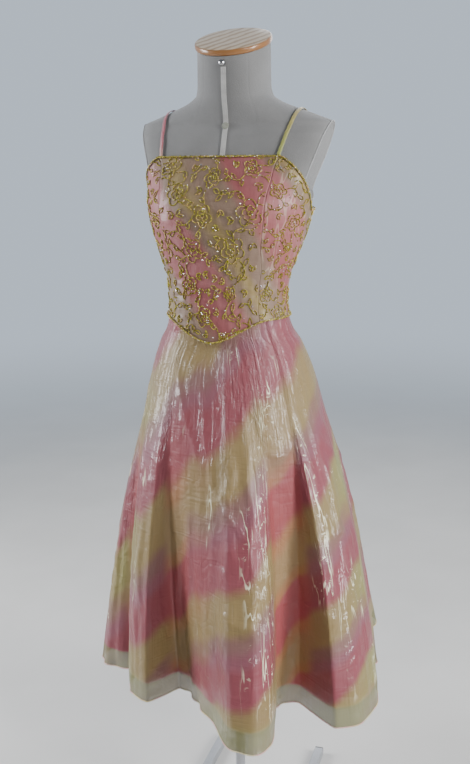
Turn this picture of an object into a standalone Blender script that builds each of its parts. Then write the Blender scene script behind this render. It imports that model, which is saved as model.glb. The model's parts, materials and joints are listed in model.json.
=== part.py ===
"""A prom dress worn by a dress form: beaded bodice on two thin straps, flared organza skirt, lining.

Metres, +Z up. The origin is on the floor under the pole. The front of the dress faces -Y, and an azimuth is
measured from the front towards +X, which is the wearer's left. Every layer is worked out from one figure, the
dress form's own sections, moved outwards: form, lining, skirt and bodice, in that order.
"""

import math

import bmesh
import bpy
import numpy as np
from mathutils import Matrix, Vector

# ---------------------------------------------------------------- driving dimensions
GAP = 0.0003  # between pieces that touch
FORM_BOTTOM = 0.860
NECK_TOP = 1.656  # centre of the neck's slanting top
NECK_SLANT = math.radians(22)
NECK_BEND = 1.580  # the neck's rings start to slant here

# The dress form: half width, where the level ring is widest, depth in front of that and behind it, squareness.
FIGURE_COLUMNS = ("height", "half_width", "centre", "front", "back", "squareness")
FIGURE = (
    (0.860, 0.150, -0.004, 0.098, 0.098, 2.3),
    (0.920, 0.160, -0.002, 0.110, 0.114, 2.25),
    (0.970, 0.160, -0.006, 0.112, 0.117, 2.2),
    (1.020, 0.151, -0.018, 0.106, 0.112, 2.2),
    (1.070, 0.137, -0.031, 0.098, 0.102, 2.15),
    (1.120, 0.122, -0.042, 0.092, 0.094, 2.1),
    (1.175, 0.1115, -0.049, 0.087, 0.087, 2.1),
    (1.215, 0.114, -0.047, 0.089, 0.090, 2.1),
    (1.260, 0.129, -0.041, 0.098, 0.102, 2.15),
    (1.310, 0.1465, -0.033, 0.108, 0.114, 2.2),
    (1.360, 0.158, -0.024, 0.114, 0.119, 2.25),
    (1.400, 0.1625, -0.013, 0.105, 0.119, 2.3),
    (1.450, 0.187, 0.004, 0.080, 0.110, 2.3),
    (1.490, 0.197, 0.020, 0.080, 0.095, 2.3),
    (1.512, 0.193, 0.028, 0.078, 0.085, 2.1),
    (1.526, 0.162, 0.027, 0.079, 0.078, 1.9),
    (1.540, 0.124, 0.022, 0.077, 0.072, 1.85),
    (1.553, 0.092, 0.016, 0.0745, 0.069, 1.9),
    (1.566, 0.0750, 0.012, 0.0725, 0.067, 2.0),
    (1.585, 0.0715, 0.009, 0.0705, 0.0665, 2.0),
    (1.700, 0.0705, 0.008, 0.070, 0.067, 2.0),
)
BUST_HEIGHT, BUST_REACH = 1.352, 0.008
BUST_AZIMUTH, BUST_WIDTH, BUST_TALL = math.radians(36), math.radians(24), 0.058

# The flat cut at each arm, which leans in as it goes down.
ARM_TOP, ARM_BOTTOM = 1.512, 1.385
ARM_REACH, ARM_LEAN = 0.189, 0.33
ARM_LEDGE = 0.8  # slope of the ledge below the cut

DRESS_TURN = math.radians(-3.4)  # the whole dress sits turned a little to the wearer's right
POINT_TURN = math.radians(-5)  # and the bodice's lower point a little more
# The bodice: wall, distance from the form low down (over the skirt) and high up, and its two edges.
BODICE_WALL = 0.0015
BODICE_LOW, BODICE_HIGH, BODICE_CUP = 0.0046, 0.0026, 0.0012
BODICE_TOP, BODICE_BOTTOM, BODICE_POINT = 1.450, 1.146, 0.0415
UNDERARM, BACK_TOP = 1.353, 1.362
CORNER = math.radians(61.5)  # where the straps start
POINT_HALF_ANGLE = math.radians(66)
SIDE_SEAM = math.radians(90)
PIPING = 0.00125  # radius of the beaded edging

# The seam between the front and side panels, from the lower edge to the upper one.
PRINCESS_COLUMNS = ("share_of_height", "azimuth_deg")
PRINCESS = ((0.0, 53.0), (0.27, 53.5), (0.50, 47.5), (0.70, 45.5), (0.86, 52.0), (1.0, 61.5))
# The armhole: how the edge drops from the corner to the underarm.
ARMHOLE_COLUMNS = ("share_of_way", "share_of_drop")
ARMHOLE = ((0, 1), (0.08, 0.95), (0.36, 0.675), (0.53, 0.50), (0.72, 0.29), (0.86, 0.12), (0.94, 0.03), (1, 0))

STRAP_WIDTH, STRAP_THICKNESS = 0.007, 0.002
STRAP_FRONT, STRAP_BACK = math.radians(60), math.radians(136)  # where a strap meets the bodice's edge
STRAP_X_SHOULDER = 0.131
STRAP_OVER_SHOULDER = 0.0028
STRAP_CLEAR = 0.0012  # between a strap's end and the edge it is sewn to

# The skirt's smooth flare under its folds.
SKIRT_WALL = 0.001
SKIRT_HEM = 0.410
SKIRT_ON_FORM = 0.0037  # the skirt's outer face over the form, under the bodice
SKIRT_COLUMNS = ("height", "half_width", "centre", "front", "back")
SKIRT = (
    (0.380, 0.292, 0.000, 0.318, 0.292),
    (0.410, 0.289, 0.000, 0.314, 0.289),
    (0.541, 0.2725, 0.000, 0.288, 0.266),
    (0.632, 0.258, -0.002, 0.266, 0.247),
    (0.722, 0.2425, -0.004, 0.242, 0.226),
    (0.811, 0.2225, -0.007, 0.216, 0.203),
    (0.897, 0.200, -0.011, 0.188, 0.178),
    (0.972, 0.180, -0.017, 0.158, 0.154),
    (1.014, 0.1705, -0.022, 0.142, 0.140),
    (1.056, 0.158, -0.028, 0.126, 0.124),
    (1.097, 0.142, -0.035, 0.110, 0.109),
    (1.142, 0.122, -0.042, 0.098, 0.097),
    (1.200, 0.118, -0.046, 0.096, 0.094),
)
# The folds: how far from the pole the hem is, the height where that fold begins and how soon it deepens.
FOLD_COLUMNS = ("azimuth_deg", "hem_radius", "top", "growth")
FOLDS = (
    (-165, 0.345, 0.98, 1.2),
    (-148, 0.252, 0.95, 1.0),
    (-130, 0.335, 0.98, 1.2),
    (-112, 0.250, 0.93, 1.0),
    (-95, 0.303, 0.98, 1.2),
    (-80, 0.264, 0.93, 1.0),
    (-63, 0.296, 0.95, 1.1),
    (-54, 0.272, 0.95, 1.1),
    (-47, 0.236, 0.92, 0.9),
    (-38, 0.274, 0.98, 1.0),
    (-30, 0.289, 0.98, 1.1),
    (-22, 0.292, 1.00, 1.1),
    (-17, 0.213, 1.00, 1.1),
    (-12, 0.214, 1.01, 1.2),
    (-5, 0.238, 1.02, 1.2),
    (1, 0.268, 1.02, 1.2),
    (9, 0.325, 1.02, 1.3),
    (15, 0.399, 1.00, 1.3),
    (20, 0.411, 1.00, 1.3),
    (25, 0.386, 0.96, 1.1),
    (28.5, 0.330, 0.92, 0.85),
    (32.5, 0.262, 0.895, 0.65),
    (38, 0.250, 0.89, 0.62),
    (42.5, 0.262, 0.905, 0.66),
    (45.5, 0.372, 0.95, 0.92),
    (52, 0.385, 0.97, 1.2),
    (60, 0.371, 0.98, 1.2),
    (69, 0.346, 0.97, 1.2),
    (80, 0.290, 0.95, 1.0),
    (93, 0.298, 0.98, 1.2),
    (110, 0.252, 0.94, 1.0),
    (129, 0.338, 0.98, 1.2),
    (148, 0.254, 0.95, 1.0),
    (164, 0.347, 0.98, 1.2),
    (180, 0.262, 0.96, 1.0),
)
# The front folds hang straight down beside each other: further up they stand wider apart round the body.
FOLDS_ABOUT, FOLDS_SPREAD = math.radians(17), 0.70  # spread per metre above the hem
SPREAD_WHOLE, SPREAD_NONE = math.radians(45), math.radians(110)  # away from that azimuth
SHARPEST = 2.2  # below this sum of normals a fold's edge is blunted
LINING_WALL = 0.001
LINING_SHORTER = 0.036
LINING_GAP_TOP, LINING_GAP_LOW = 0.0006, 0.0055  # between lining and skirt
RELEASE = 0.048  # over this height the skirt leaves the form for its own flare

# The neck cap, knob, button and front tape of the form.
CAP_RADIUS, CAP_THICKNESS, CAP_ROUND = 0.0745, 0.0115, 0.0035
KNOB_HEIGHT, KNOB_RADIUS = 1.643, 0.0068
BUTTON_HEIGHT, BUTTON_RADIUS, BUTTON_THICKNESS = 1.506, 0.0068, 0.0022
TAPE_WIDTH, TAPE_THICKNESS = 0.0095, 0.0007
TAPE_TOP, TAPE_END = 1.602, 1.410

# The stand.
POLE_RADIUS = 0.0105
SOCKET_WALL, SOCKET_LENGTH, FLANGE_RADIUS, FLANGE_THICKNESS = 0.0025, 0.055, 0.034, 0.003
BAR = 0.020
BAR_LENGTH, BAR_SPREAD, BAR_ROUND = 0.530, 0.246, 0.0015
PLUG_THICKNESS = 0.003

# Grid sizes. Layers that lie on each other share their columns and levels.
FIGURE_STEPS = 36
FIGURE_LEVELS = (
    (0.860, 0.864, 0.905, 0.955, 1.005, 1.045, 1.075, 1.100, 1.125, 1.145, 1.165, 1.185)
    + (1.205, 1.230, 1.260, 1.295, 1.330, 1.360, ARM_BOTTOM - 0.018, ARM_BOTTOM, 1.410, 1.432, 1.450)
    + (1.470, 1.490, 1.504, ARM_TOP, 1.520, 1.528, 1.536, 1.544, 1.553, 1.566, 1.585, 1.620, NECK_TOP)
)
SKIRT_FRONT_STEPS, SKIRT_BACK_STEPS = 44, 14
SKIRT_PANELS = (
    ("front", -SIDE_SEAM, SIDE_SEAM, SKIRT_FRONT_STEPS),
    ("back_left", SIDE_SEAM, math.pi, SKIRT_BACK_STEPS),
    ("back_right", math.pi, math.pi + SIDE_SEAM, SKIRT_BACK_STEPS),
)
WAIST_LEVELS = (1.185, 1.170, 1.155, 1.140, 1.125, 1.110, 1.095, 1.080, 1.062, 1.035)
SKIRT_LEVELS = WAIST_LEVELS + (0.990, 0.920, 0.840, 0.740, 0.630, 0.520, SKIRT_HEM)
LINING_LEVELS = WAIST_LEVELS + (0.920, 0.740, 0.580, SKIRT_HEM + LINING_SHORTER)
BODICE_SHARES = (1.0, 0.955, 0.87, 0.78, 0.69, 0.59, 0.46, 0.31, 0.15, 0.0)


# ---------------------------------------------------------------- curves through short tables
def columns_of(rows, names):
    """A table's rows as one array for each named column."""
    return dict(zip(names, np.array(rows, float).T))


def eased(x, knots, values):
    """A smooth curve through a table's rows that doesn't overshoot between them."""
    steps = np.diff(knots)
    slopes = np.diff(values) / steps
    turning = slopes[:-1] * slopes[1:] <= 0
    total = np.where(turning, 1.0, slopes[:-1] + slopes[1:])
    inner = np.where(turning, 0.0, 2 * slopes[:-1] * slopes[1:] / total)
    tangents = np.concatenate(([slopes[0]], inner, [slopes[-1]]))
    x = np.asarray(x, float)
    i = np.clip(np.searchsorted(knots, x, side="right") - 1, 0, len(steps) - 1)
    s = np.clip((x - knots[i]) / steps[i], 0, 1)
    start = (1 + 2 * s) * (1 - s) ** 2 * values[i] + s * (1 - s) ** 2 * steps[i] * tangents[i]
    end = s**2 * (3 - 2 * s) * values[i + 1] + s**2 * (s - 1) * steps[i] * tangents[i + 1]
    return start + end


def smooth_step(x):
    """0 below 0, 1 above 1 and an even S between them."""
    x = np.clip(x, 0, 1)
    return x * x * (3 - 2 * x)


figure_table = columns_of(FIGURE, FIGURE_COLUMNS)
skirt_table = columns_of(SKIRT, SKIRT_COLUMNS)
fold_table = columns_of(FOLDS, FOLD_COLUMNS)
princess_table = columns_of(PRINCESS, PRINCESS_COLUMNS)
armhole_table = columns_of(ARMHOLE, ARMHOLE_COLUMNS)


def around(azimuth, column):
    """A fold column at any azimuth, the same after a full turn."""
    knots = np.radians(fold_table["azimuth_deg"])
    values = fold_table[column]
    knots = np.concatenate((knots - 2 * math.pi, knots, knots + 2 * math.pi))
    turn = (np.asarray(azimuth, float) + math.pi) % (2 * math.pi) - math.pi
    return eased(turn, knots, np.tile(values, 3))


def ring_point(azimuth, half_width, centre, front, back, squareness):
    """A point of a level ring, a rounded square with its own depth in front and behind."""
    across, along = np.sin(azimuth), np.cos(azimuth)
    depth = np.where(along >= 0, front, back)
    sides = np.abs(across / half_width) ** squareness + np.abs(along / depth) ** squareness
    radius = sides ** (-1 / squareness)
    return radius * across, centre - radius * along


# ---------------------------------------------------------------- the form's skin and what is worn over it
def figure(azimuth, height):
    """The dress form's skin as (..., 3), with no arm cuts."""
    size = {c: eased(height, figure_table["height"], figure_table[c]) for c in FIGURE_COLUMNS[1:]}
    x, y = ring_point(azimuth, **size)
    turn = (azimuth + math.pi) % (2 * math.pi) - math.pi
    level = ((height - BUST_HEIGHT) / BUST_TALL) ** 2
    bust = sum(np.exp(-(((turn + side * BUST_AZIMUTH) / BUST_WIDTH) ** 2) - level) for side in (-1, 1))
    bust = BUST_REACH * bust
    x, y = x + bust * np.sin(azimuth), y - bust * np.cos(azimuth)
    slant = math.tan(NECK_SLANT) * smooth_step((height - NECK_BEND) / (NECK_TOP - NECK_BEND))
    return np.stack([x, y, height + slant * y], axis=-1)


def normal_of(surface, azimuth, height):
    turn, rise = 1e-4, 1e-5
    along = surface(azimuth + turn, height) - surface(azimuth - turn, height)
    up = surface(azimuth, height + rise) - surface(azimuth, height - rise)
    normal = np.cross(along, up)
    return normal / np.linalg.norm(normal, axis=-1, keepdims=True)


def moved_out(surface, azimuth, height, distance):
    """A surface's points moved along its outward normal."""
    return surface(azimuth, height) + normal_of(surface, azimuth, height) * np.asarray(distance)[..., None]


def upper_edge(azimuth):
    """Height of the bodice's upper edge: level between the straps, scooped under the arm, level behind."""
    away = np.abs(azimuth - DRESS_TURN)
    side = (away - CORNER) / (SIDE_SEAM - CORNER)
    drop = eased(np.clip(side, 0, 1), armhole_table["share_of_way"], armhole_table["share_of_drop"])
    scoop = UNDERARM + (BODICE_TOP - UNDERARM) * drop
    behind = UNDERARM + (BACK_TOP - UNDERARM) * smooth_step((away - SIDE_SEAM) / SIDE_SEAM)
    return np.where(side < 1, scoop, behind)


def lower_edge(azimuth):
    """Height of the bodice's lower edge, which dips to a rounded point in front."""
    share = np.clip(1 - np.abs(azimuth - POINT_TURN) / POINT_HALF_ANGLE, 0, 1)
    return BODICE_BOTTOM - BODICE_POINT * smooth_step(share)


def bodice(azimuth, height, inwards=0.0):
    """The bodice's outer face, which stands further off where the skirt lies under it."""
    off = BODICE_LOW + (BODICE_HIGH - BODICE_LOW) * smooth_step((height - 1.20) / 0.08)
    off = off + BODICE_CUP * np.exp(-(((height - BUST_HEIGHT - 0.015) / 0.04) ** 2))
    return moved_out(figure, azimuth, height, off + BODICE_WALL - inwards)


def flare(azimuth, height):
    """The skirt with no folds."""
    size = {c: eased(height, skirt_table["height"], skirt_table[c]) for c in SKIRT_COLUMNS[1:]}
    x, y = ring_point(azimuth, **size, squareness=2.0)
    return np.stack([x, y, height + 0 * x], axis=-1)


def swung(fold, height):
    """The azimuth, at this height, of the fold line that reaches the hem at azimuth fold."""
    away = fold - FOLDS_ABOUT
    window = 1 - smooth_step((np.abs(away) - SPREAD_WHOLE) / (SPREAD_NONE - SPREAD_WHOLE))
    return fold + away * window * FOLDS_SPREAD * (height - SKIRT_HEM)


def skirt(fold, height):
    """The skirt's outer face: on the form at the waist, then its flare with the folds added."""
    hem = flare(fold, SKIRT_HEM + 0 * fold)
    deep = around(fold, "hem_radius") - np.hypot(hem[..., 0], hem[..., 1])
    top = around(fold, "top")
    share = np.clip((top - height) / (top - SKIRT_HEM), 0, 1.2) ** around(fold, "growth")
    azimuth = swung(fold, height)
    outward = np.stack([np.sin(azimuth), -np.cos(azimuth), 0 * azimuth], axis=-1)
    free = flare(azimuth, height) + (deep * share)[..., None] * outward
    worn = moved_out(figure, azimuth, height, SKIRT_ON_FORM + 0 * height)
    leave = smooth_step((lower_edge(azimuth) - 0.006 - height) / RELEASE)[..., None]
    return worn * (1 - leave) + free * leave


def under_skirt(height):
    """How far the lining's outer face lies inside the skirt's outer face."""
    low = smooth_step((1.10 - height) / 0.10)
    return SKIRT_WALL + LINING_GAP_TOP + (LINING_GAP_LOW - LINING_GAP_TOP) * low


def inwards_from(ring):
    """For each point of a closed grid, the move that takes all the faces around it inwards by 1 metre.

    With S the sum of the four unit normals there, the move is -4 S / |S|^2, so a wall stays evenly thick where
    the cloth turns sharply.
    """
    along = np.roll(ring, -1, axis=1) - ring
    up = ring[:-1] - ring[1:]
    normal = np.cross(along[:-1] + along[1:], up + np.roll(up, -1, axis=1))
    normal /= np.linalg.norm(normal, axis=-1, keepdims=True)
    normal = np.concatenate((normal[:1], normal, normal[-1:]))
    total = normal[:-1] + normal[1:]
    total = total + np.roll(total, 1, axis=1)
    squared = (total**2).sum(axis=-1, keepdims=True)
    return -4 * total / np.maximum(squared, SHARPEST * np.sqrt(squared))


def half_gap(surface, azimuth, height):
    """The azimuth that half a seam's gap takes up."""
    width = np.linalg.norm(surface(azimuth + 1e-4, height) - surface(azimuth - 1e-4, height), axis=-1)
    return GAP / 2 / (width / 2e-4)


# ---------------------------------------------------------------- making objects
def fresh_scene():
    for thing in list(bpy.data.objects):
        bpy.data.objects.remove(thing)
    group = bpy.data.collections.new("prom_dress")
    bpy.context.scene.collection.children.link(group)
    return group


GROUP = fresh_scene()


def material(name, colour, roughness, metallic=0.0):
    made = bpy.data.materials.new(name)
    made.use_nodes = True
    shader = made.node_tree.nodes["Principled BSDF"]
    shader.inputs["Base Color"].default_value = (*colour, 1)
    shader.inputs["Roughness"].default_value = roughness
    shader.inputs["Metallic"].default_value = metallic
    return made


GREY_CLOTH = material("grey_cloth", (0.42, 0.43, 0.44), 0.9)
WHITE_TAPE = material("white_tape", (0.62, 0.61, 0.60), 0.7)
PINE = material("pine", (0.62, 0.42, 0.24), 0.45)
CHROME = material("chrome", (0.75, 0.75, 0.76), 0.12, 1.0)
BUTTON_GREY = material("button_grey", (0.33, 0.36, 0.30), 0.6)
STEEL = material("painted_steel", (0.56, 0.57, 0.60), 0.35, 0.2)
BLACK_PLASTIC = material("black_plastic", (0.02, 0.02, 0.02), 0.5)
BODICE_CLOTH = material("beaded_organza", (0.78, 0.48, 0.48), 0.45)
BEADING = material("gold_beading", (0.55, 0.47, 0.10), 0.3, 0.4)
STRAP_CLOTH = material("strap_organza", (0.72, 0.62, 0.30), 0.5)
SKIRT_CLOTH = material("organza", (0.80, 0.55, 0.50), 0.35)
LINING_CLOTH = material("lining", (0.62, 0.34, 0.34), 0.5)


def add(name, mesh, finish):
    made = bpy.data.objects.new(name, mesh)
    mesh.materials.append(finish)
    GROUP.objects.link(made)
    return made


def adopt(name, made, finish):
    """A primitive that an operator has just added, renamed and filed with the rest."""
    made.name = name
    made.data.name = name
    made.data.materials.append(finish)
    for group in list(made.users_collection):
        group.objects.unlink(made)
    GROUP.objects.link(made)
    return made


def grid_faces(rows, columns, joined):
    """Faces of a grid whose rows run down and columns run with the azimuth, so that they face outwards."""
    faces = []
    for row in range(rows - 1):
        for column in range(columns if joined else columns - 1):
            across = (column + 1) % columns
            here, below = row * columns, (row + 1) * columns
            faces.append((here + column, below + column, below + across, here + across))
    return faces


def wall(name, outer, inner, finish):
    """A panel between its outer and its inner face, both as points[row][column] and cut into the same triangles."""
    rows, columns = outer.shape[:2]
    faces = [half for a, b, c, d in grid_faces(rows, columns, False) for half in ((a, b, c), (a, c, d))]
    behind = rows * columns
    faces += [tuple(behind + corner for corner in reversed(face)) for face in faces]
    rim = [column for column in range(columns)]
    rim += [row * columns + columns - 1 for row in range(1, rows)]
    rim += [(rows - 1) * columns + column for column in range(columns - 2, -1, -1)]
    rim += [row * columns for row in range(rows - 2, 0, -1)]
    for here, after in zip(rim, rim[1:] + rim[:1]):
        faces.append((here, after, behind + after, behind + here))
    mesh = bpy.data.meshes.new(name)
    points = np.concatenate((outer.reshape(-1, 3), inner.reshape(-1, 3)))
    mesh.from_pydata(points.tolist(), [], faces)
    mesh.shade_smooth()
    mesh.set_sharp_from_angle(angle=math.radians(60))
    return add(name, mesh, finish)


def loft(name, rings, finish, closed_round=False):
    """A closed solid through rings[row][column], capped at its ends or joined end to end."""
    rows, columns = rings.shape[:2]
    faces = grid_faces(rows, columns, True)
    if closed_round:
        last = (rows - 1) * columns
        for column in range(columns):
            across = (column + 1) % columns
            faces.append((last + column, column, across, last + across))
    else:
        faces.append(tuple(range(columns)))
        faces.append(tuple(reversed(range((rows - 1) * columns, rows * columns))))
    mesh = bpy.data.meshes.new(name)
    mesh.from_pydata(rings.reshape(-1, 3).tolist(), [], faces)
    body = bmesh.new()
    body.from_mesh(mesh)
    bmesh.ops.recalc_face_normals(body, faces=body.faces)
    body.to_mesh(mesh)
    body.free()
    mesh.shade_smooth()
    mesh.set_sharp_from_angle(angle=math.radians(40))
    return add(name, mesh, finish)


def turned(name, profile, steps, finish, place=Matrix.Identity(4)):
    """A ring turned about Z from a closed profile of (radius, height), outer side first and downwards."""
    mesh = bpy.data.meshes.new(name)
    count = len(profile)
    edges = [(i, (i + 1) % count) for i in range(count)]
    mesh.from_pydata([(r, 0, z) for r, z in profile], edges, [])
    made = add(name, mesh, finish)
    screw = made.modifiers.new("turn", "SCREW")
    screw.axis = "Z"
    screw.steps = screw.render_steps = steps
    screw.use_merge_vertices = True
    screw.merge_threshold = 0.00001
    screw.use_smooth_shade = True
    made.matrix_world = place
    return made


def box(name, size, centre, finish, rounding):
    bpy.ops.mesh.primitive_cube_add(size=1, location=centre)
    made = adopt(name, bpy.context.object, finish)
    made.data.transform(Matrix.Diagonal((*size, 1)))
    bevel = made.modifiers.new("rounded edges", "BEVEL")
    bevel.width = rounding
    bevel.segments = 2
    return made


def cylinder(name, radius, depth, place, steps, finish, rounding=0.0, segments=3):
    bpy.ops.mesh.primitive_cylinder_add(radius=radius, depth=depth, vertices=steps)
    made = adopt(name, bpy.context.object, finish)
    made.data.shade_smooth()
    made.data.set_sharp_from_angle(angle=math.radians(40))
    made.matrix_world = place
    if rounding:
        bevel = made.modifiers.new("rounded rim", "BEVEL")
        bevel.width = rounding
        bevel.segments = segments
        bevel.limit_method = "ANGLE"
    return made


# ---------------------------------------------------------------- the dress form
def arm_reach(height):
    """How far out the flat cut at the arm is."""
    return ARM_REACH - ARM_LEAN * (ARM_TOP - height)


def cut_at_arms(points):
    """The form's skin, flattened where the arms are cut off, with a ledge under each cut."""
    cut = points.copy()
    height = points[..., 2]
    ledge = arm_reach(ARM_BOTTOM) + (ARM_BOTTOM - height) * ARM_LEDGE
    limit = np.where(height < ARM_BOTTOM, ledge, np.where(height < ARM_TOP + 0.02, arm_reach(height), 1.0))
    cut[..., 0] = np.clip(points[..., 0], -limit, limit)
    return cut


def make_torso():
    heights = np.array(FIGURE_LEVELS)[::-1]
    azimuth = np.linspace(-math.pi, math.pi, FIGURE_STEPS, endpoint=False)
    turns, levels = np.meshgrid(azimuth, heights)
    rings = cut_at_arms(figure(turns, levels))
    rings[-1, :, :2] *= 0.975  # the lower rim is slightly rounded
    loft("form_torso", rings, GREY_CLOTH)


def neck_place(height):
    """Place of something that lies on the neck's slanting top, this far above its centre."""
    centre = (figure(np.array(0.0), np.array(NECK_TOP)) + figure(np.array(math.pi), np.array(NECK_TOP))) / 2
    turn = Matrix.Rotation(NECK_SLANT, 4, "X")
    up = turn @ Vector((0, 0, 1))
    return Matrix.Translation(Vector(centre) + up * height) @ turn


def front_place(height, out):
    """Place of something round that lies on the form's front line, its axis along the skin's normal."""
    zero, level = np.array(0.0), np.array(height)
    skin = Vector(figure(zero, level))
    normal = Vector(moved_out(figure, zero, level, np.array(1.0))) - skin
    return Matrix.Translation(skin + normal * out) @ normal.to_track_quat("Z", "Y").to_matrix().to_4x4()


def make_form_fittings():
    cylinder(
        "form_neck_cap",
        CAP_RADIUS,
        CAP_THICKNESS,
        neck_place(GAP + CAP_THICKNESS / 2),
        32,
        PINE,
        CAP_ROUND,
        2,
    )
    # The knob is a ball on a short stem, with a flat foot on the neck above the tape.
    stem, ball = 0.0035, KNOB_RADIUS
    centre = stem + ball * 0.8
    turns = np.linspace(math.radians(90), math.radians(-52), 8)
    profile = [(max(ball * math.cos(a), 0.0), centre + ball * math.sin(a)) for a in turns]
    profile[0] = (0.0, centre + ball)
    profile += [(0.0040, 0.0), (0.0, 0.0)]
    mesh = bpy.data.meshes.new("form_neck_knob")
    mesh.from_pydata([(r, 0, z) for r, z in profile], [(i, i + 1) for i in range(len(profile) - 1)], [])
    knob = add("form_neck_knob", mesh, CHROME)
    screw = knob.modifiers.new("turn", "SCREW")
    screw.steps = screw.render_steps = 12
    screw.use_merge_vertices = True
    screw.merge_threshold = 0.00001
    knob.matrix_world = front_place(KNOB_HEIGHT, GAP)
    cylinder(
        "form_chest_button",
        BUTTON_RADIUS,
        BUTTON_THICKNESS,
        front_place(BUTTON_HEIGHT, TAPE_THICKNESS + 2 * GAP + 0.0014 + BUTTON_THICKNESS / 2),
        20,
        BUTTON_GREY,
        0.0006,
        1,
    )
    heights = np.array([h for h in FIGURE_LEVELS if TAPE_END < h < TAPE_TOP] + [TAPE_TOP])[::-1]
    across = np.linspace(-TAPE_WIDTH / 2, TAPE_WIDTH / 2, 3)
    depth = eased(heights, figure_table["height"], figure_table["front"])
    levels, spread = np.meshgrid(heights, across, indexing="ij")
    turns = np.arcsin(np.clip(spread / depth[:, None], -1, 1))
    under = GAP + 0.0002
    faces = [moved_out(figure, turns, levels, out + 0 * turns) for out in (under + TAPE_THICKNESS, under)]
    wall("form_front_tape", *faces, WHITE_TAPE)


# ---------------------------------------------------------------- the stand
def make_stand():
    inner, outer = POLE_RADIUS + GAP, POLE_RADIUS + GAP + SOCKET_WALL
    top = FORM_BOTTOM - GAP
    socket = [
        (FLANGE_RADIUS, top),
        (FLANGE_RADIUS, top - FLANGE_THICKNESS),
        (outer, top - FLANGE_THICKNESS),
        (outer, top - SOCKET_LENGTH),
        (inner, top - SOCKET_LENGTH),
        (inner, top),
    ]
    turned("form_pole_socket", socket, 20, STEEL)
    foot, head = BAR + GAP, top - 0.002
    place = Matrix.Translation((0, 0, (foot + head) / 2))
    cylinder("stand_pole", POLE_RADIUS, head - foot, place, 20, STEEL)
    collar = [
        (outer, BAR + GAP + SOCKET_LENGTH),
        (outer, BAR + GAP + FLANGE_THICKNESS),
        (BAR * 0.49 + 0.008, BAR + GAP + FLANGE_THICKNESS),
        (BAR * 0.49 + 0.008, BAR + GAP),
        (inner, BAR + GAP),
        (inner, BAR + GAP + SOCKET_LENGTH),
    ]
    turned("stand_collar", collar, 20, STEEL)
    half = BAR_SPREAD / 2
    box("stand_crossbar", (BAR_SPREAD - BAR - 2 * GAP, BAR, BAR), (0, 0, BAR / 2), STEEL, BAR_ROUND)
    for side, word in ((-1, "right"), (1, "left")):
        box(f"stand_bar_{word}", (BAR, BAR_LENGTH, BAR), (side * half, 0, BAR / 2), STEEL, BAR_ROUND)
        for end, place_word in ((-1, "front"), (1, "back")):
            y = end * (BAR_LENGTH / 2 + GAP + PLUG_THICKNESS / 2)
            size = (BAR - 0.0006, PLUG_THICKNESS, BAR - 0.0006)
            box(f"stand_plug_{word}_{place_word}", size, (side * half, y, BAR / 2), BLACK_PLASTIC, 0.0008)


# ---------------------------------------------------------------- the bodice
def princess(side):
    """The seam's azimuth as a function of the share of the bodice's height, 0 at its lower edge."""
    return lambda share: DRESS_TURN + side * np.radians(
        eased(share, princess_table["share_of_height"], princess_table["azimuth_deg"])
    )


def upright(from_front):
    """A seam that stays at one azimuth, given from the dress's own front."""
    return lambda share: DRESS_TURN + from_front + 0 * share


def bodice_sheet(first, last, columns):
    """Azimuths and heights of one panel between two seams, half a gap inside each."""
    share = np.array(BODICE_SHARES)[:, None]
    edges = []
    for seam, inwards in ((first, 1), (last, -1)):
        azimuth = seam(share)
        height = lower_edge(azimuth) + (upper_edge(azimuth) - lower_edge(azimuth)) * share
        edges.append(azimuth + inwards * 1.2 * half_gap(bodice, azimuth, height))
    azimuth = edges[0] + (edges[1] - edges[0]) * np.linspace(0, 1, columns)[None, :]
    top, bottom = upper_edge(azimuth), lower_edge(azimuth)
    return azimuth, bottom + (top - bottom) * share


def make_bodice():
    panels = (
        ("bodice_front", princess(-1), princess(1), 15),
        ("bodice_side_right", upright(-SIDE_SEAM), princess(-1), 10),
        ("bodice_side_left", princess(1), upright(SIDE_SEAM), 10),
        ("bodice_back_right", upright(-math.pi), upright(-SIDE_SEAM), 14),
        ("bodice_back_left", upright(SIDE_SEAM), upright(math.pi), 14),
    )
    edge_azimuths = []
    for name, first, last, columns in panels:
        azimuth, height = bodice_sheet(first, last, columns)
        wall(name, bodice(azimuth, height), bodice(azimuth, height, BODICE_WALL), BODICE_CLOTH)
        edge_azimuths.append((azimuth[0], azimuth[-1]))
    order = (3, 1, 0, 2, 4)
    upper = np.concatenate([edge_azimuths[i][0][:-1] for i in order] + [edge_azimuths[4][0][-1:]])
    lower = np.concatenate([edge_azimuths[i][1][:-1] for i in order] + [edge_azimuths[4][1][-1:]])
    edging("bodice_top_edging", upper, upper_edge(upper), -0.0016)
    edging("bodice_hem_edging", lower, lower_edge(lower), 0.0016)


def edging(name, azimuth, height, inset):
    """The beaded trim: a thin tube that lies on the bodice's outer face along its edge."""
    azimuth = azimuth[1:-1]
    height = height[1:-1] + inset
    normal = normal_of(bodice, azimuth, height)
    centre = bodice(azimuth, height) + normal * (GAP + 0.0003 + PIPING)
    tube(name, centre, normal, PIPING, PIPING, 4, BEADING)


def tube(name, centre, normal, half_width, half_depth, sides, finish):
    """A closed tube along centre, half_width across its line and half_depth along the normal."""
    along = np.gradient(centre, axis=0)
    along /= np.linalg.norm(along, axis=-1, keepdims=True)
    across = np.cross(along, normal)
    across /= np.linalg.norm(across, axis=-1, keepdims=True)
    out = np.cross(across, along)
    turns = (np.arange(sides) + 0.5) * 2 * math.pi / sides
    rings = (
        centre[:, None]
        + half_width * np.cos(turns)[None, :, None] * across[:, None]
        + half_depth * np.sin(turns)[None, :, None] * out[:, None]
    )
    return loft(name, rings, finish)


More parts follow.
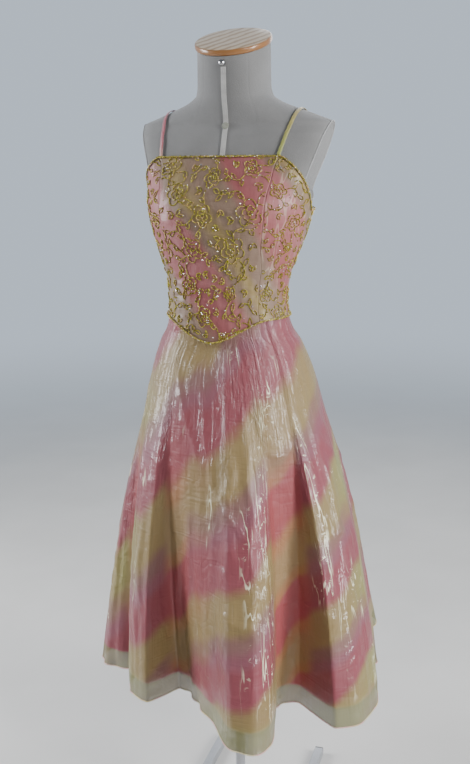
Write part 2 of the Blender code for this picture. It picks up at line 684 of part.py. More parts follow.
# ---------------------------------------------------------------- the straps
def ring_azimuth(x, height, behind):
    """Where a level ring of the form reaches this x, in front of the arm or behind it."""
    size = {c: eased(height, figure_table["height"], figure_table[c]) for c in FIGURE_COLUMNS[1:]}
    depth = size["back"] if behind else size["front"]
    share = np.clip(np.abs(x) / size["half_width"], 0, 1) ** size["squareness"]
    along = depth * (1 - share) ** (1 / size["squareness"])
    return np.arctan2(x, -along if behind else along)


def make_strap(side, name):
    """One strap, from the bodice's upper edge straight over the shoulder to the back's upper edge."""
    levels = np.linspace(1.50, 1.56, 500)
    widths = eased(levels, figure_table["height"], figure_table["half_width"])
    peak = np.interp(-STRAP_X_SHOULDER, -widths, levels)
    azimuths, heights = [], []
    for behind, end in ((False, STRAP_FRONT), (True, STRAP_BACK)):
        end_azimuth = DRESS_TURN + side * end
        foot = float(upper_edge(end_azimuth)) + STRAP_CLEAR
        x_foot = float(figure(np.array(end_azimuth), np.array(foot))[0])
        share = np.linspace(0, 1, 10)
        height = foot + (peak - foot) * (1 - (1 - share) ** 2.2)
        x = x_foot + (side * STRAP_X_SHOULDER - x_foot) * (height - foot) / (peak - foot)
        azimuth = ring_azimuth(x, height, behind)
        keep = slice(None) if not behind else slice(-2, None, -1)
        azimuths.append(azimuth[keep])
        heights.append(height[keep])
    azimuth, height = np.concatenate(azimuths), np.concatenate(heights)
    seated = BODICE_HIGH + BODICE_WALL / 2
    rise = smooth_step((height - 1.47) / 0.04)
    off = seated + (STRAP_OVER_SHOULDER - seated) * rise
    facing = normal_of(figure, azimuth, height)
    path = figure(azimuth, height) + facing * off[:, None]
    tube(name, path, facing, STRAP_WIDTH / 2, STRAP_THICKNESS / 2, 6, STRAP_CLOTH)


# ---------------------------------------------------------------- the skirt and its lining
def fold_columns(first, last, columns):
    """Azimuths between two seams, closer together where the hem runs in and out of a fold."""
    fine = DRESS_TURN + np.linspace(first, last, 2000)
    radius = around(fine, "hem_radius")
    length = np.hypot(np.gradient(radius, fine), radius) + 0.45
    walked = np.concatenate(([0], np.cumsum((length[1:] + length[:-1]) / 2 * np.diff(fine))))
    return np.interp(np.linspace(0, walked[-1], columns), walked, fine)


def make_skirt():
    """Skirt and lining, each cut from one closed ring of columns, so that neighbours meet evenly at the seams."""
    stretches = [fold_columns(first, last, steps + 1) for _, first, last, steps in SKIRT_PANELS]
    columns = np.concatenate([stretch[:-1] for stretch in stretches])
    for layer, levels, finish in (("skirt", SKIRT_LEVELS, SKIRT_CLOTH), ("lining", LINING_LEVELS, LINING_CLOTH)):
        fold, height = np.meshgrid(columns, np.array(levels))
        ring = skirt(fold, height)
        inwards = inwards_from(ring)
        near = under_skirt(height)[..., None] if layer == "lining" else 0.0
        outer = ring + inwards * near
        inner = ring + inwards * (near + (LINING_WALL if layer == "lining" else SKIRT_WALL))
        along = np.roll(ring, -1, axis=1) - np.roll(ring, 1, axis=1)
        along /= np.linalg.norm(along, axis=-1, keepdims=True)
        start = 0
        for (word, *_), stretch in zip(SKIRT_PANELS, stretches):
            pick = np.arange(start, start + len(stretch)) % len(columns)
            shift = np.zeros((1, len(stretch), 1))
            shift[0, 0], shift[0, -1] = 0.55 * GAP, -0.55 * GAP
            shift = shift * along[:, pick]
            wall(f"{layer}_{word}", outer[:, pick] + shift, inner[:, pick] + shift, finish)
            start += len(stretch) - 1


# ---------------------------------------------------------------- build it
make_torso()
make_form_fittings()
make_stand()
make_bodice()
make_strap(-1, "strap_right")
make_strap(1, "strap_left")
make_skirt()
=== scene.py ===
# %% [markdown]
# # A prom dress on a dress form
# The dress has a beaded bodice on two thin straps and a flared skirt of crystal organza over a shorter lining.
# It stands on a cloth-covered dress form with a wooden neck cap and a steel stand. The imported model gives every
# piece its place and size. This file gives the looks: finer cloth with its creases, beads, finishes and light.

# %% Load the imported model
import json
import math

import bmesh
import bpy
import numpy as np
from mathutils import Matrix, Vector

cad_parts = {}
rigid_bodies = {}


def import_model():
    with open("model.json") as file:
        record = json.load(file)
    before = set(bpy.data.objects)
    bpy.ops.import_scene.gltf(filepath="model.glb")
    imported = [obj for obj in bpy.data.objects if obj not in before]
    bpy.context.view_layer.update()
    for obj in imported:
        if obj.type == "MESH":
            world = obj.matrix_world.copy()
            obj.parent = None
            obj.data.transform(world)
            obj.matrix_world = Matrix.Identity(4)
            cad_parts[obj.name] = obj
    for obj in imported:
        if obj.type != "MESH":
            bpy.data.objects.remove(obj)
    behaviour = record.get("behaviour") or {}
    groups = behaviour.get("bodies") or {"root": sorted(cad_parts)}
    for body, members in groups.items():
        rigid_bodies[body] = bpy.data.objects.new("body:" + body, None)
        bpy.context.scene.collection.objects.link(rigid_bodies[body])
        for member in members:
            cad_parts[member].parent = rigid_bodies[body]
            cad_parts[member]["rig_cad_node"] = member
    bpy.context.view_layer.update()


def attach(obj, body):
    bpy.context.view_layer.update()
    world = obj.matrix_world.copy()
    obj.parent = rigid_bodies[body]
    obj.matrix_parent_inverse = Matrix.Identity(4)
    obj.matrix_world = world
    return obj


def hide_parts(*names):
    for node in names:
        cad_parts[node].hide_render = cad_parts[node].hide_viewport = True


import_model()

# %% [markdown]
# ## The camera
# The photograph was taken from chest height, a little to the wearer's right of straight ahead, and looks down
# slightly. A camera is placed by its distance, height and two angles, so that anyone can read where it stands.

# %% Camera
CAMERA_DISTANCE, CAMERA_HEIGHT, CAMERA_SHIFT = 2.0, 1.45, 0.003
CAMERA_PITCH, CAMERA_AZIMUTH, CAMERA_ROLL = math.radians(12.7), math.radians(17), math.radians(-0.65)
PHOTO_HEIGHT_PX, FOCAL_PX, SENSOR_MM = 764, 1000, 36

to_right = Vector((math.cos(CAMERA_AZIMUTH), math.sin(CAMERA_AZIMUTH), 0))
away = Vector((-math.sin(CAMERA_AZIMUTH), math.cos(CAMERA_AZIMUTH), 0))
forward = away * math.cos(CAMERA_PITCH) - Vector((0, 0, math.sin(CAMERA_PITCH)))
upward = away * math.sin(CAMERA_PITCH) + Vector((0, 0, math.cos(CAMERA_PITCH)))
camera = bpy.data.objects.new("camera", bpy.data.cameras.new("camera"))
bpy.context.scene.collection.objects.link(camera)
camera.data.sensor_fit = "VERTICAL"
camera.data.sensor_height = SENSOR_MM
camera.data.lens = FOCAL_PX / PHOTO_HEIGHT_PX * SENSOR_MM
axes = Matrix((to_right, upward, -forward)).transposed().to_4x4()
stands_at = Vector((0, 0, CAMERA_HEIGHT)) - away * CAMERA_DISTANCE - to_right * CAMERA_SHIFT
camera.matrix_world = Matrix.Translation(stands_at) @ axes @ Matrix.Rotation(CAMERA_ROLL, 4, "Z")
bpy.context.scene.camera = camera
print("camera at", [round(v, 3) for v in stands_at])

# %% [markdown]
# ## Meshes from grids
# Cloth, tubes and turned parts are all grids: rows run down, columns run round. One helper turns a numpy array
# of points into a mesh, with its flat coordinates in metres as the UV map and any named values that a finish
# reads. Making the whole grid at once keeps the formula of a shape in one line.

# %% Grid helper
def grid_mesh(name, points, uv=None, round_columns=False, round_rows=False, **values):
    """A smooth mesh from points[row, column]: cell (r, c) is the quad (r,c) (r+1,c) (r+1,c+1) (r,c+1)."""
    rows, columns = points.shape[:2]
    row = np.arange(rows if round_rows else rows - 1)[:, None]
    column = np.arange(columns if round_columns else columns - 1)[None, :]
    below, beside = (row + 1) % rows, (column + 1) % columns
    corners = ((row, column), (below, column), (below, beside), (row, beside))
    quads = np.stack([r * columns + c for r, c in corners], axis=-1).reshape(-1, 4)
    mesh = bpy.data.meshes.new(name)
    mesh.from_pydata(points.reshape(-1, 3).tolist(), [], quads.tolist())
    if uv is not None:
        layer = mesh.uv_layers.new(name="cloth")
        layer.data.foreach_set("uv", uv.reshape(-1, 2)[quads.ravel()].ravel().astype(np.float32))
    for word, array in values.items():
        held = mesh.attributes.new(word, "FLOAT", "POINT")
        held.data.foreach_set("value", np.broadcast_to(array, (rows, columns)).ravel().astype(np.float32))
    mesh.shade_smooth()
    return mesh


def flat_map(across, down):
    """The UV of a grid whose columns lie at these widths and whose rows lie at these levels."""
    return np.stack(np.broadcast_arrays(across[None, :], down[:, None]), axis=-1)


def faces_outwards(mesh, *ends):
    """Caps over any loops of points that are still open, and every face turned outwards."""
    body = bmesh.new()
    body.from_mesh(mesh)
    body.verts.ensure_lookup_table()
    for end in ends:
        body.faces.new([body.verts[index] for index in end])
    bmesh.ops.recalc_face_normals(body, faces=body.faces)
    body.to_mesh(mesh)
    body.free()
    mesh.shade_smooth()


def closed_ends(mesh, rings, sides):
    """The same for a tube or a turned part, whose first and last rings are its open loops."""
    faces_outwards(mesh, range(sides), range((rings - 1) * sides, rings * sides))


def piece(name, mesh, finish, slot, *stands_for):
    """An object for this mesh that rides on the model and hides the nodes that it stands for."""
    made = bpy.data.objects.new(name, mesh)
    mesh.materials.append(finish)
    bpy.context.scene.collection.objects.link(made)
    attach(made, "root")
    if stands_for:
        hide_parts(*stands_for)
    return made

# %% Measures
def unit(vectors):
    """Each vector divided by its own length."""
    return vectors / np.linalg.norm(vectors, axis=-1, keepdims=True)


def walk(path):
    """How far along a row of points each one lies: the running sum of the steps between them."""
    return np.concatenate(([0], np.cumsum(np.linalg.norm(np.diff(path, axis=0), axis=-1))))


# %% [markdown]
# ## Finishes from nodes
# Every finish is one Principled shader. A number that is the same all over is typed on the shader's own socket,
# and only what really varies over the surface, such as the colour bands or the creases, comes from nodes.

# %% Node helpers
def node(tree, kind, inputs=(), **settings):
    """A new node with its settings; inputs maps a socket's name or number to a value or to another socket."""
    made = tree.nodes.new("ShaderNode" + kind)
    for word, value in settings.items():
        setattr(made, word, value)
    for word, value in dict(inputs).items():
        if isinstance(value, bpy.types.NodeSocket):
            tree.links.new(value, made.inputs[word])
        else:
            made.inputs[word].default_value = value
    return made


def finish(name, **sockets):
    """A new material; the keywords are the Principled shader's sockets, with _ for a space."""
    made = bpy.data.materials.new(name)
    made.use_nodes = True
    shader = made.node_tree.nodes["Principled BSDF"]
    for word, value in sockets.items():
        socket = shader.inputs[word.replace("_", " ")]
        socket.default_value = (*value, 1) if isinstance(value, tuple) and len(value) == 3 else value
    return made, made.node_tree, shader


def ramp(tree, factor, *stops):
    """The colour output of a ramp through (position, colour) stops."""
    made = node(tree, "ValToRGB", {"Fac": factor})
    made.color_ramp.interpolation = "EASE"
    elements = made.color_ramp.elements
    while len(elements) < len(stops):
        elements.new(0.5)
    for element, (position, colour) in zip(elements, stops):
        element.position = position
        element.color = (*colour, 1)
    return made.outputs["Color"]


def bumped(tree, shader, height, distance, strength=1.0, under=None):
    """A bump of this height in metres, over another bump where one is given."""
    inputs = {"Height": height, "Distance": distance, "Strength": strength}
    if under is not None:
        inputs["Normal"] = under
    made = node(tree, "Bump", inputs)
    tree.links.new(made.outputs["Normal"], shader.inputs["Normal"])
    return made.outputs["Normal"]

# %% What a pattern reads
def attribute(tree, word):
    """A value that the mesh itself carries from point to point."""
    return node(tree, "Attribute", attribute_name=word).outputs["Fac"]


def own(tree):
    """Where a point lies on the piece itself, in metres."""
    return node(tree, "TexCoord").outputs["Object"]


def scaled(tree, vector, scale, turn=(0, 0, 0)):
    """A vector scaled along each axis, which makes a pattern finer that way, and then turned."""
    return node(tree, "Mapping", {"Vector": vector, "Scale": scale, "Rotation": turn}).outputs["Vector"]


def noise(tree, vector, scale, detail=3.0, roughness=0.5, distortion=0.0):
    """The value of a noise this fine, scale being how many lumps there are in a metre."""
    inputs = {"Vector": vector, "Scale": scale, "Detail": detail, "Roughness": roughness, "Distortion": distortion}
    return node(tree, "TexNoise", inputs).outputs["Fac"]

# %% Arithmetic on sockets
def maths(tree, operation, *values):
    """One step of arithmetic on sockets or numbers."""
    return node(tree, "Math", dict(enumerate(values)), operation=operation).outputs[0]


def sum_of(tree, first, second, share=1.0):
    """first + share x second."""
    return maths(tree, "MULTIPLY_ADD", second, share, first)


def off_middle(tree, value):
    """|value - 0.5|, which turns a soft noise into sharp valleys."""
    return maths(tree, "ABSOLUTE", maths(tree, "SUBTRACT", value, 0.5))


def between(tree, value, low, high, kind="SMOOTHSTEP"):
    """0 where the value is low, 1 where it is high and an even S between them."""
    inputs = {"Value": value, "From Min": low, "From Max": high}
    return node(tree, "MapRange", inputs, interpolation_type=kind).outputs[0]


def blend(tree, share, first, second):
    """From the first colour to the second: a Mix node's sockets 6 and 7, and its output 2."""
    return node(tree, "Mix", {0: share, 6: first, 7: second}, data_type="RGBA").outputs[2]

# %% The plainest finish, which most small pieces have
def mottled(name, scale, detail, *stops, bump=None, **sockets):
    """A finish whose colour follows a noise this fine; its bump is a (scale, detail, depth in metres)."""
    made, tree, shader = finish(name, **sockets)
    tree.links.new(ramp(tree, noise(tree, own(tree), scale, detail), *stops), shader.inputs["Base Color"])
    if bump:
        bumped(tree, shader, noise(tree, own(tree), *bump[:2]), bump[2])
    return made

# %% [markdown]
# ## The figure that everything lies on
# Form, lining, skirt and bodice are all one figure moved outwards. The figure is a stack of level rings, each a
# rounded square with its own half width and depth, so its whole shape is a short table with a smooth curve
# through each column. The finer meshes use the same table as the solids, so they lie exactly where those do.

# %% Sizes of the figure
# All lengths are in metres, and an azimuth is counted from the front (-Y) towards the wearer's left (+X).
GAP = 0.0003  # between pieces that touch
NECK_TOP, NECK_SLANT, NECK_BEND = 1.656, math.radians(22), 1.580
FORM_BOTTOM = 0.860
FIGURE_COLUMNS = ("height", "half_width", "centre", "front", "back", "squareness")
FIGURE = (
    (0.860, 0.150, -0.004, 0.098, 0.098, 2.3),
    (0.920, 0.160, -0.002, 0.110, 0.114, 2.25),
    (0.970, 0.160, -0.006, 0.112, 0.117, 2.2),
    (1.020, 0.151, -0.018, 0.106, 0.112, 2.2),
    (1.070, 0.137, -0.031, 0.098, 0.102, 2.15),
    (1.120, 0.122, -0.042, 0.092, 0.094, 2.1),
    (1.175, 0.1115, -0.049, 0.087, 0.087, 2.1),
    (1.215, 0.114, -0.047, 0.089, 0.090, 2.1),
    (1.260, 0.129, -0.041, 0.098, 0.102, 2.15),
    (1.310, 0.1465, -0.033, 0.108, 0.114, 2.2),
    (1.360, 0.158, -0.024, 0.114, 0.119, 2.25),
    (1.400, 0.1625, -0.013, 0.105, 0.119, 2.3),
    (1.450, 0.187, 0.004, 0.080, 0.110, 2.3),
    (1.490, 0.197, 0.020, 0.080, 0.095, 2.3),
    (1.512, 0.193, 0.028, 0.078, 0.085, 2.1),
    (1.526, 0.162, 0.027, 0.079, 0.078, 1.9),
    (1.540, 0.124, 0.022, 0.077, 0.072, 1.85),
    (1.553, 0.092, 0.016, 0.0745, 0.069, 1.9),
    (1.566, 0.0750, 0.012, 0.0725, 0.067, 2.0),
    (1.585, 0.0715, 0.009, 0.0705, 0.0665, 2.0),
    (1.700, 0.0705, 0.008, 0.070, 0.067, 2.0),
)
BUST_HEIGHT, BUST_REACH = 1.352, 0.008
BUST_AZIMUTH, BUST_WIDTH, BUST_TALL = math.radians(36), math.radians(24), 0.058
ARM_TOP, ARM_BOTTOM, ARM_REACH, ARM_LEAN, ARM_LEDGE = 1.512, 1.385, 0.189, 0.33, 0.8
print(len(FIGURE), "rings of the figure")

# %% Sizes of the bodice
DRESS_TURN, POINT_TURN = math.radians(-3.4), math.radians(-5)
BODICE_WALL, BODICE_LOW, BODICE_HIGH, BODICE_CUP = 0.0015, 0.0046, 0.0026, 0.0012
BODICE_TOP, BODICE_BOTTOM, BODICE_POINT = 1.450, 1.146, 0.0415
UNDERARM, BACK_TOP = 1.353, 1.362
CORNER, POINT_HALF_ANGLE, SIDE_SEAM = math.radians(61.5), math.radians(66), math.radians(90)
PIPING = 0.00125
PRINCESS_COLUMNS = ("share_of_height", "azimuth_deg")
PRINCESS = ((0.0, 53.0), (0.27, 53.5), (0.50, 47.5), (0.70, 45.5), (0.86, 52.0), (1.0, 61.5))
ARMHOLE_COLUMNS = ("share_of_way", "share_of_drop")
ARMHOLE = ((0, 1), (0.08, 0.95), (0.36, 0.675), (0.53, 0.50), (0.72, 0.29), (0.86, 0.12), (0.94, 0.03), (1, 0))
print("bodice from", BODICE_BOTTOM - BODICE_POINT, "to", BODICE_TOP, "m")

# %% Sizes of the skirt and its folds
SKIRT_HEM, SKIRT_TOP, SKIRT_ON_FORM = 0.410, 1.185, 0.0037
SKIRT_COLUMNS = ("height", "half_width", "centre", "front", "back")
SKIRT = (
    (0.380, 0.292, 0.000, 0.318, 0.292),
    (0.410, 0.289, 0.000, 0.314, 0.289),
    (0.541, 0.2725, 0.000, 0.288, 0.266),
    (0.632, 0.258, -0.002, 0.266, 0.247),
    (0.722, 0.2425, -0.004, 0.242, 0.226),
    (0.811, 0.2225, -0.007, 0.216, 0.203),
    (0.897, 0.200, -0.011, 0.188, 0.178),
    (0.972, 0.180, -0.017, 0.158, 0.154),
    (1.014, 0.1705, -0.022, 0.142, 0.140),
    (1.056, 0.158, -0.028, 0.126, 0.124),
    (1.097, 0.142, -0.035, 0.110, 0.109),
    (1.142, 0.122, -0.042, 0.098, 0.097),
    (1.200, 0.118, -0.046, 0.096, 0.094),
)
FOLD_COLUMNS = ("azimuth_deg", "hem_radius", "top", "growth")
FOLDS = (
    (-165, 0.345, 0.98, 1.2),
    (-148, 0.252, 0.95, 1.0),
    (-130, 0.335, 0.98, 1.2),
    (-112, 0.250, 0.93, 1.0),
    (-95, 0.303, 0.98, 1.2),
    (-80, 0.264, 0.93, 1.0),
    (-63, 0.296, 0.95, 1.1),
    (-54, 0.272, 0.95, 1.1),
    (-47, 0.236, 0.92, 0.9),
    (-38, 0.274, 0.98, 1.0),
    (-30, 0.289, 0.98, 1.1),
    (-22, 0.292, 1.00, 1.1),
    (-17, 0.213, 1.00, 1.1),
    (-12, 0.214, 1.01, 1.2),
    (-5, 0.238, 1.02, 1.2),
    (1, 0.268, 1.02, 1.2),
    (9, 0.325, 1.02, 1.3),
    (15, 0.399, 1.00, 1.3),
    (20, 0.411, 1.00, 1.3),
    (25, 0.386, 0.96, 1.1),
    (28.5, 0.330, 0.92, 0.85),
    (32.5, 0.262, 0.895, 0.65),
    (38, 0.250, 0.89, 0.62),
    (42.5, 0.262, 0.905, 0.66),
    (45.5, 0.372, 0.95, 0.92),
    (52, 0.385, 0.97, 1.2),
    (60, 0.371, 0.98, 1.2),
    (69, 0.346, 0.97, 1.2),
    (80, 0.290, 0.95, 1.0),
    (93, 0.298, 0.98, 1.2),
    (110, 0.252, 0.94, 1.0),
    (129, 0.338, 0.98, 1.2),
    (148, 0.254, 0.95, 1.0),
    (164, 0.347, 0.98, 1.2),
    (180, 0.262, 0.96, 1.0),
)
FOLDS_ABOUT, FOLDS_SPREAD = math.radians(17), 0.70
SPREAD_WHOLE, SPREAD_NONE = math.radians(45), math.radians(110)
RELEASE = 0.048  # the height over which the skirt leaves the form
print(len(SKIRT), "rings of the skirt and", len(FOLDS), "lines of folds")

# %% Smooth curves through those tables
def columns_of(rows, names):
    """A table's rows as one array for each named column."""
    return dict(zip(names, np.array(rows, float).T))


def eased(x, knots, values):
    """A smooth curve through a table's rows that doesn't overshoot between them."""
    steps = np.diff(knots)
    slopes = np.diff(values) / steps
    turning = slopes[:-1] * slopes[1:] <= 0
    total = np.where(turning, 1.0, slopes[:-1] + slopes[1:])
    inner = np.where(turning, 0.0, 2 * slopes[:-1] * slopes[1:] / total)
    tangents = np.concatenate(([slopes[0]], inner, [slopes[-1]]))
    x = np.asarray(x, float)
    i = np.clip(np.searchsorted(knots, x, side="right") - 1, 0, len(steps) - 1)
    s = np.clip((x - knots[i]) / steps[i], 0, 1)
    start = (1 + 2 * s) * (1 - s) ** 2 * values[i] + s * (1 - s) ** 2 * steps[i] * tangents[i]
    end = s**2 * (3 - 2 * s) * values[i + 1] + s**2 * (s - 1) * steps[i] * tangents[i + 1]
    return start + end


def smooth_step(x):
    """0 below 0, 1 above 1 and an even S between them."""
    x = np.clip(x, 0, 1)
    return x * x * (3 - 2 * x)


figure_table = columns_of(FIGURE, FIGURE_COLUMNS)
skirt_table = columns_of(SKIRT, SKIRT_COLUMNS)
fold_table = columns_of(FOLDS, FOLD_COLUMNS)
princess_table = columns_of(PRINCESS, PRINCESS_COLUMNS)
armhole_table = columns_of(ARMHOLE, ARMHOLE_COLUMNS)


def around(azimuth, column):
    """A fold column at any azimuth, the same after a full turn."""
    knots = np.radians(fold_table["azimuth_deg"])
    knots = np.concatenate((knots - 2 * math.pi, knots, knots + 2 * math.pi))
    turn = (np.asarray(azimuth, float) + math.pi) % (2 * math.pi) - math.pi
    return eased(turn, knots, np.tile(fold_table[column], 3))

# %% The surface of the figure
def ring_point(azimuth, half_width, centre, front, back, squareness):
    """A point of a level ring: radius = (|sin a / half width|^n + |cos a / depth|^n)^(-1/n)."""
    across, along = np.sin(azimuth), np.cos(azimuth)
    depth = np.where(along >= 0, front, back)
    sides = np.abs(across / half_width) ** squareness + np.abs(along / depth) ** squareness
    radius = sides ** (-1 / squareness)
    return radius * across, centre - radius * along


def figure(azimuth, height):
    """The dress form's skin, with a soft bell at each side of the bust and a slant at the neck's top."""
    size = {c: eased(height, figure_table["height"], figure_table[c]) for c in FIGURE_COLUMNS[1:]}
    x, y = ring_point(azimuth, **size)
    turn = (azimuth + math.pi) % (2 * math.pi) - math.pi
    level = ((height - BUST_HEIGHT) / BUST_TALL) ** 2
    bust = sum(np.exp(-(((turn + side * BUST_AZIMUTH) / BUST_WIDTH) ** 2) - level) for side in (-1, 1))
    x, y = x + BUST_REACH * bust * np.sin(azimuth), y - BUST_REACH * bust * np.cos(azimuth)
    slant = math.tan(NECK_SLANT) * smooth_step((height - NECK_BEND) / (NECK_TOP - NECK_BEND))
    return np.stack([x, y, height + slant * y], axis=-1)


def normal_of(surface, azimuth, height):
    """The outward normal: (change with azimuth) x (change with height)."""
    turn, rise = 1e-4, 1e-5
    along = surface(azimuth + turn, height) - surface(azimuth - turn, height)
    up = surface(azimuth, height + rise) - surface(azimuth, height - rise)
    return unit(np.cross(along, up))


def moved_out(surface, azimuth, height, distance):
    """A surface's points moved along its outward normal."""
    return surface(azimuth, height) + normal_of(surface, azimuth, height) * np.asarray(distance)[..., None]

# %% The surface of the bodice
def upper_edge(azimuth):
    """Height of the bodice's upper edge: level between the straps, scooped under the arm, level behind."""
    away_from_front = np.abs(azimuth - DRESS_TURN)
    side = (away_from_front - CORNER) / (SIDE_SEAM - CORNER)
    drop = eased(np.clip(side, 0, 1), armhole_table["share_of_way"], armhole_table["share_of_drop"])
    scoop = UNDERARM + (BODICE_TOP - UNDERARM) * drop
    behind = UNDERARM + (BACK_TOP - UNDERARM) * smooth_step((away_from_front - SIDE_SEAM) / SIDE_SEAM)
    return np.where(side < 1, scoop, behind)


def lower_edge(azimuth):
    """Height of the bodice's lower edge, which dips to a rounded point in front."""
    share = np.clip(1 - np.abs(azimuth - POINT_TURN) / POINT_HALF_ANGLE, 0, 1)
    return BODICE_BOTTOM - BODICE_POINT * smooth_step(share)


def bodice(azimuth, height):
    """The bodice's outer face, which stands further off where the skirt lies under it."""
    off = BODICE_LOW + (BODICE_HIGH - BODICE_LOW) * smooth_step((height - 1.20) / 0.08)
    off = off + BODICE_CUP * np.exp(-(((height - BUST_HEIGHT - 0.015) / 0.04) ** 2))
    return moved_out(figure, azimuth, height, off + BODICE_WALL)

# %% The surface of the skirt
def flare(azimuth, height):
    """The skirt with no folds."""
    size = {c: eased(height, skirt_table["height"], skirt_table[c]) for c in SKIRT_COLUMNS[1:]}
    x, y = ring_point(azimuth, **size, squareness=2.0)
    return np.stack([x, y, height + 0 * x], axis=-1)


def swung(fold, height):
    """The azimuth, at this height, of the fold line that reaches the hem at azimuth fold."""
    off_centre = fold - FOLDS_ABOUT
    window = 1 - smooth_step((np.abs(off_centre) - SPREAD_WHOLE) / (SPREAD_NONE - SPREAD_WHOLE))
    return fold + off_centre * window * FOLDS_SPREAD * (height - SKIRT_HEM)


def skirt(fold, height):
    """The skirt's outer face: on the form at the waist, then its flare with the folds added."""
    hem = flare(fold, SKIRT_HEM + 0 * fold)
    deep = around(fold, "hem_radius") - np.hypot(hem[..., 0], hem[..., 1])
    top = around(fold, "top")
    share = np.clip((top - height) / (top - SKIRT_HEM), 0, 1.2) ** around(fold, "growth")
    azimuth = swung(fold, height)
    outward = np.stack([np.sin(azimuth), -np.cos(azimuth), 0 * azimuth], axis=-1)
    free = flare(azimuth, height) + (deep * share)[..., None] * outward
    worn = moved_out(figure, azimuth, height, SKIRT_ON_FORM + 0 * height)
    leave = smooth_step((lower_edge(azimuth) - 0.006 - height) / RELEASE)[..., None]
    return worn * (1 - leave) + free * leave


def grid_normals(points):
    """Unit normals of a grid, outwards: (towards the next column) x (towards the row above)."""
    return unit(np.cross(np.gradient(points, axis=1), -np.gradient(points, axis=0)))


waist = np.array([figure(turn, 1.175) for turn in np.radians((-90, 90))])
print("waist of the form:", round(float(np.ptp(waist[:, 0])), 3), "m wide")

# %% [markdown]
# ## The skirt of crystal organza
# The real skirt is a wide flare of stiff, shiny organza that falls in deep folds, crumpled all over and dyed in
# slanting bands. Cloth simulation would lose the folds that show, so the sheet is the skirt's own surface on a
# fine grid. Its creases are added as soft ridges and troughs along the cloth's normal, and the smallest
# crumples are left to the finish.

# %% Columns and levels of the skirt
SKIRT_ROWS, SKIRT_FRONT_COLUMNS, SKIRT_BACK_COLUMNS = 165, 420, 150
SKIRT_PANELS = (
    ("front", -SIDE_SEAM, SIDE_SEAM, SKIRT_FRONT_COLUMNS),
    ("back_left", SIDE_SEAM, math.pi, SKIRT_BACK_COLUMNS),
    ("back_right", math.pi, math.pi + SIDE_SEAM, SKIRT_BACK_COLUMNS),
)
# Soft creases: where each starts and ends (azimuth at the hem, height), its width and how far it stands out.
CREASE_COLUMNS = ("from_deg", "from_height", "to_deg", "to_height", "width", "out")
CREASES = (
    (-22, 1.085, 2, 0.86, 0.010, 0.0022),
    (-3, 1.060, 9, 0.80, 0.008, 0.0016),
    (14, 0.980, 13, 0.45, 0.011, 0.0035),
    (22, 1.000, 21, 0.43, 0.009, 0.0040),
    (18, 0.900, 8, 0.79, 0.008, 0.0018),
    (6, 0.830, 20, 0.77, 0.009, 0.0020),
    (9, 0.640, 22, 0.60, 0.010, 0.0022),
    (4, 0.560, 17, 0.53, 0.008, 0.0016),
    (48, 1.020, 49, 0.60, 0.009, 0.0034),
    (57, 0.960, 56, 0.46, 0.012, 0.0034),
    (66, 0.900, 65, 0.50, 0.011, 0.0028),
    (47, 0.780, 66, 0.70, 0.010, 0.0024),
    (50, 0.930, 70, 0.87, 0.012, 0.0020),
    (-27, 0.900, -28, 0.44, 0.011, 0.0030),
    (-36, 0.980, -34, 0.52, 0.009, 0.0022),
    (-42, 0.860, -26, 0.80, 0.010, 0.0016),
    (-56, 0.940, -58, 0.47, 0.012, 0.0028),
    (-66, 1.020, -40, 0.93, 0.012, 0.0018),
    (-95, 0.960, -96, 0.47, 0.012, 0.0030),
    (-106, 0.900, -90, 0.84, 0.012, 0.0018),
    (-130, 0.940, -131, 0.45, 0.012, 0.0034),
    (-142, 1.000, -122, 0.90, 0.012, 0.0018),
    (-164, 0.960, -165, 0.46, 0.011, 0.0034),
    (93, 0.960, 94, 0.46, 0.012, 0.0030),
    (84, 0.880, 100, 0.83, 0.011, 0.0018),
    (129, 0.950, 128, 0.45, 0.012, 0.0034),
    (118, 1.010, 138, 0.92, 0.012, 0.0018),
    (163, 0.960, 164, 0.46, 0.011, 0.0034),
    (150, 0.880, 168, 0.81, 0.011, 0.0020),
    (176, 1.020, 190, 0.88, 0.011, 0.0016),
)
crease_table = columns_of(CREASES, CREASE_COLUMNS)
EVENNESS = 0.45  # the larger, the more evenly the columns are spread over the azimuths
CLOTH_TO_RADIAN, HEM_TO_RADIAN = 0.31, 0.36  # metres of cloth to a radian of azimuth, on average and at the hem


def fold_columns(first, last, columns):
    """Azimuths between two seams, closer together where the hem runs in and out of a fold."""
    fine = DRESS_TURN + np.linspace(first, last, 3000)
    radius = around(fine, "hem_radius")
    length = np.hypot(np.gradient(radius, fine), radius) + EVENNESS
    walked = np.concatenate(([0], np.cumsum((length[1:] + length[:-1]) / 2 * np.diff(fine))))
    return np.interp(np.linspace(0, walked[-1], columns), walked, fine)

# %% Relief of the creases, the flutes and the hem
CREASE_WANDER, CREASE_ENDS = 0.35, 0.30  # shares of a crease's width and of its length


def creased(fold, height):
    """How far the creases lift the cloth: for each, out x exp(-(distance / width)^2), faded at both its ends."""
    lift = np.zeros(np.broadcast(fold, height).shape)
    for start, top, end, bottom, width, out in zip(*crease_table.values()):
        ax, ay = math.radians(start) * CLOTH_TO_RADIAN, top
        bx, by = math.radians(end) * CLOTH_TO_RADIAN, bottom
        for turn in (-2 * math.pi, 0.0):
            px, py = (fold + turn) * CLOTH_TO_RADIAN - ax, height - ay
            length = math.hypot(bx - ax, by - ay)
            dx, dy = (bx - ax) / length, (by - ay) / length
            along = px * dx + py * dy
            off_line = px * dy - py * dx + CREASE_WANDER * width * np.sin(along * 55 + start)
            fade = CREASE_ENDS * length
            ends = smooth_step(along / fade) * smooth_step((length - along) / fade)
            lift += out * ends * np.exp(-((off_line / width) ** 2))
    return lift


FLUTE_DEPTH, PULL_DEPTH, RIPPLE_DEPTH, RIPPLE_REACH = 0.0006, 0.0005, 0.0030, 0.016


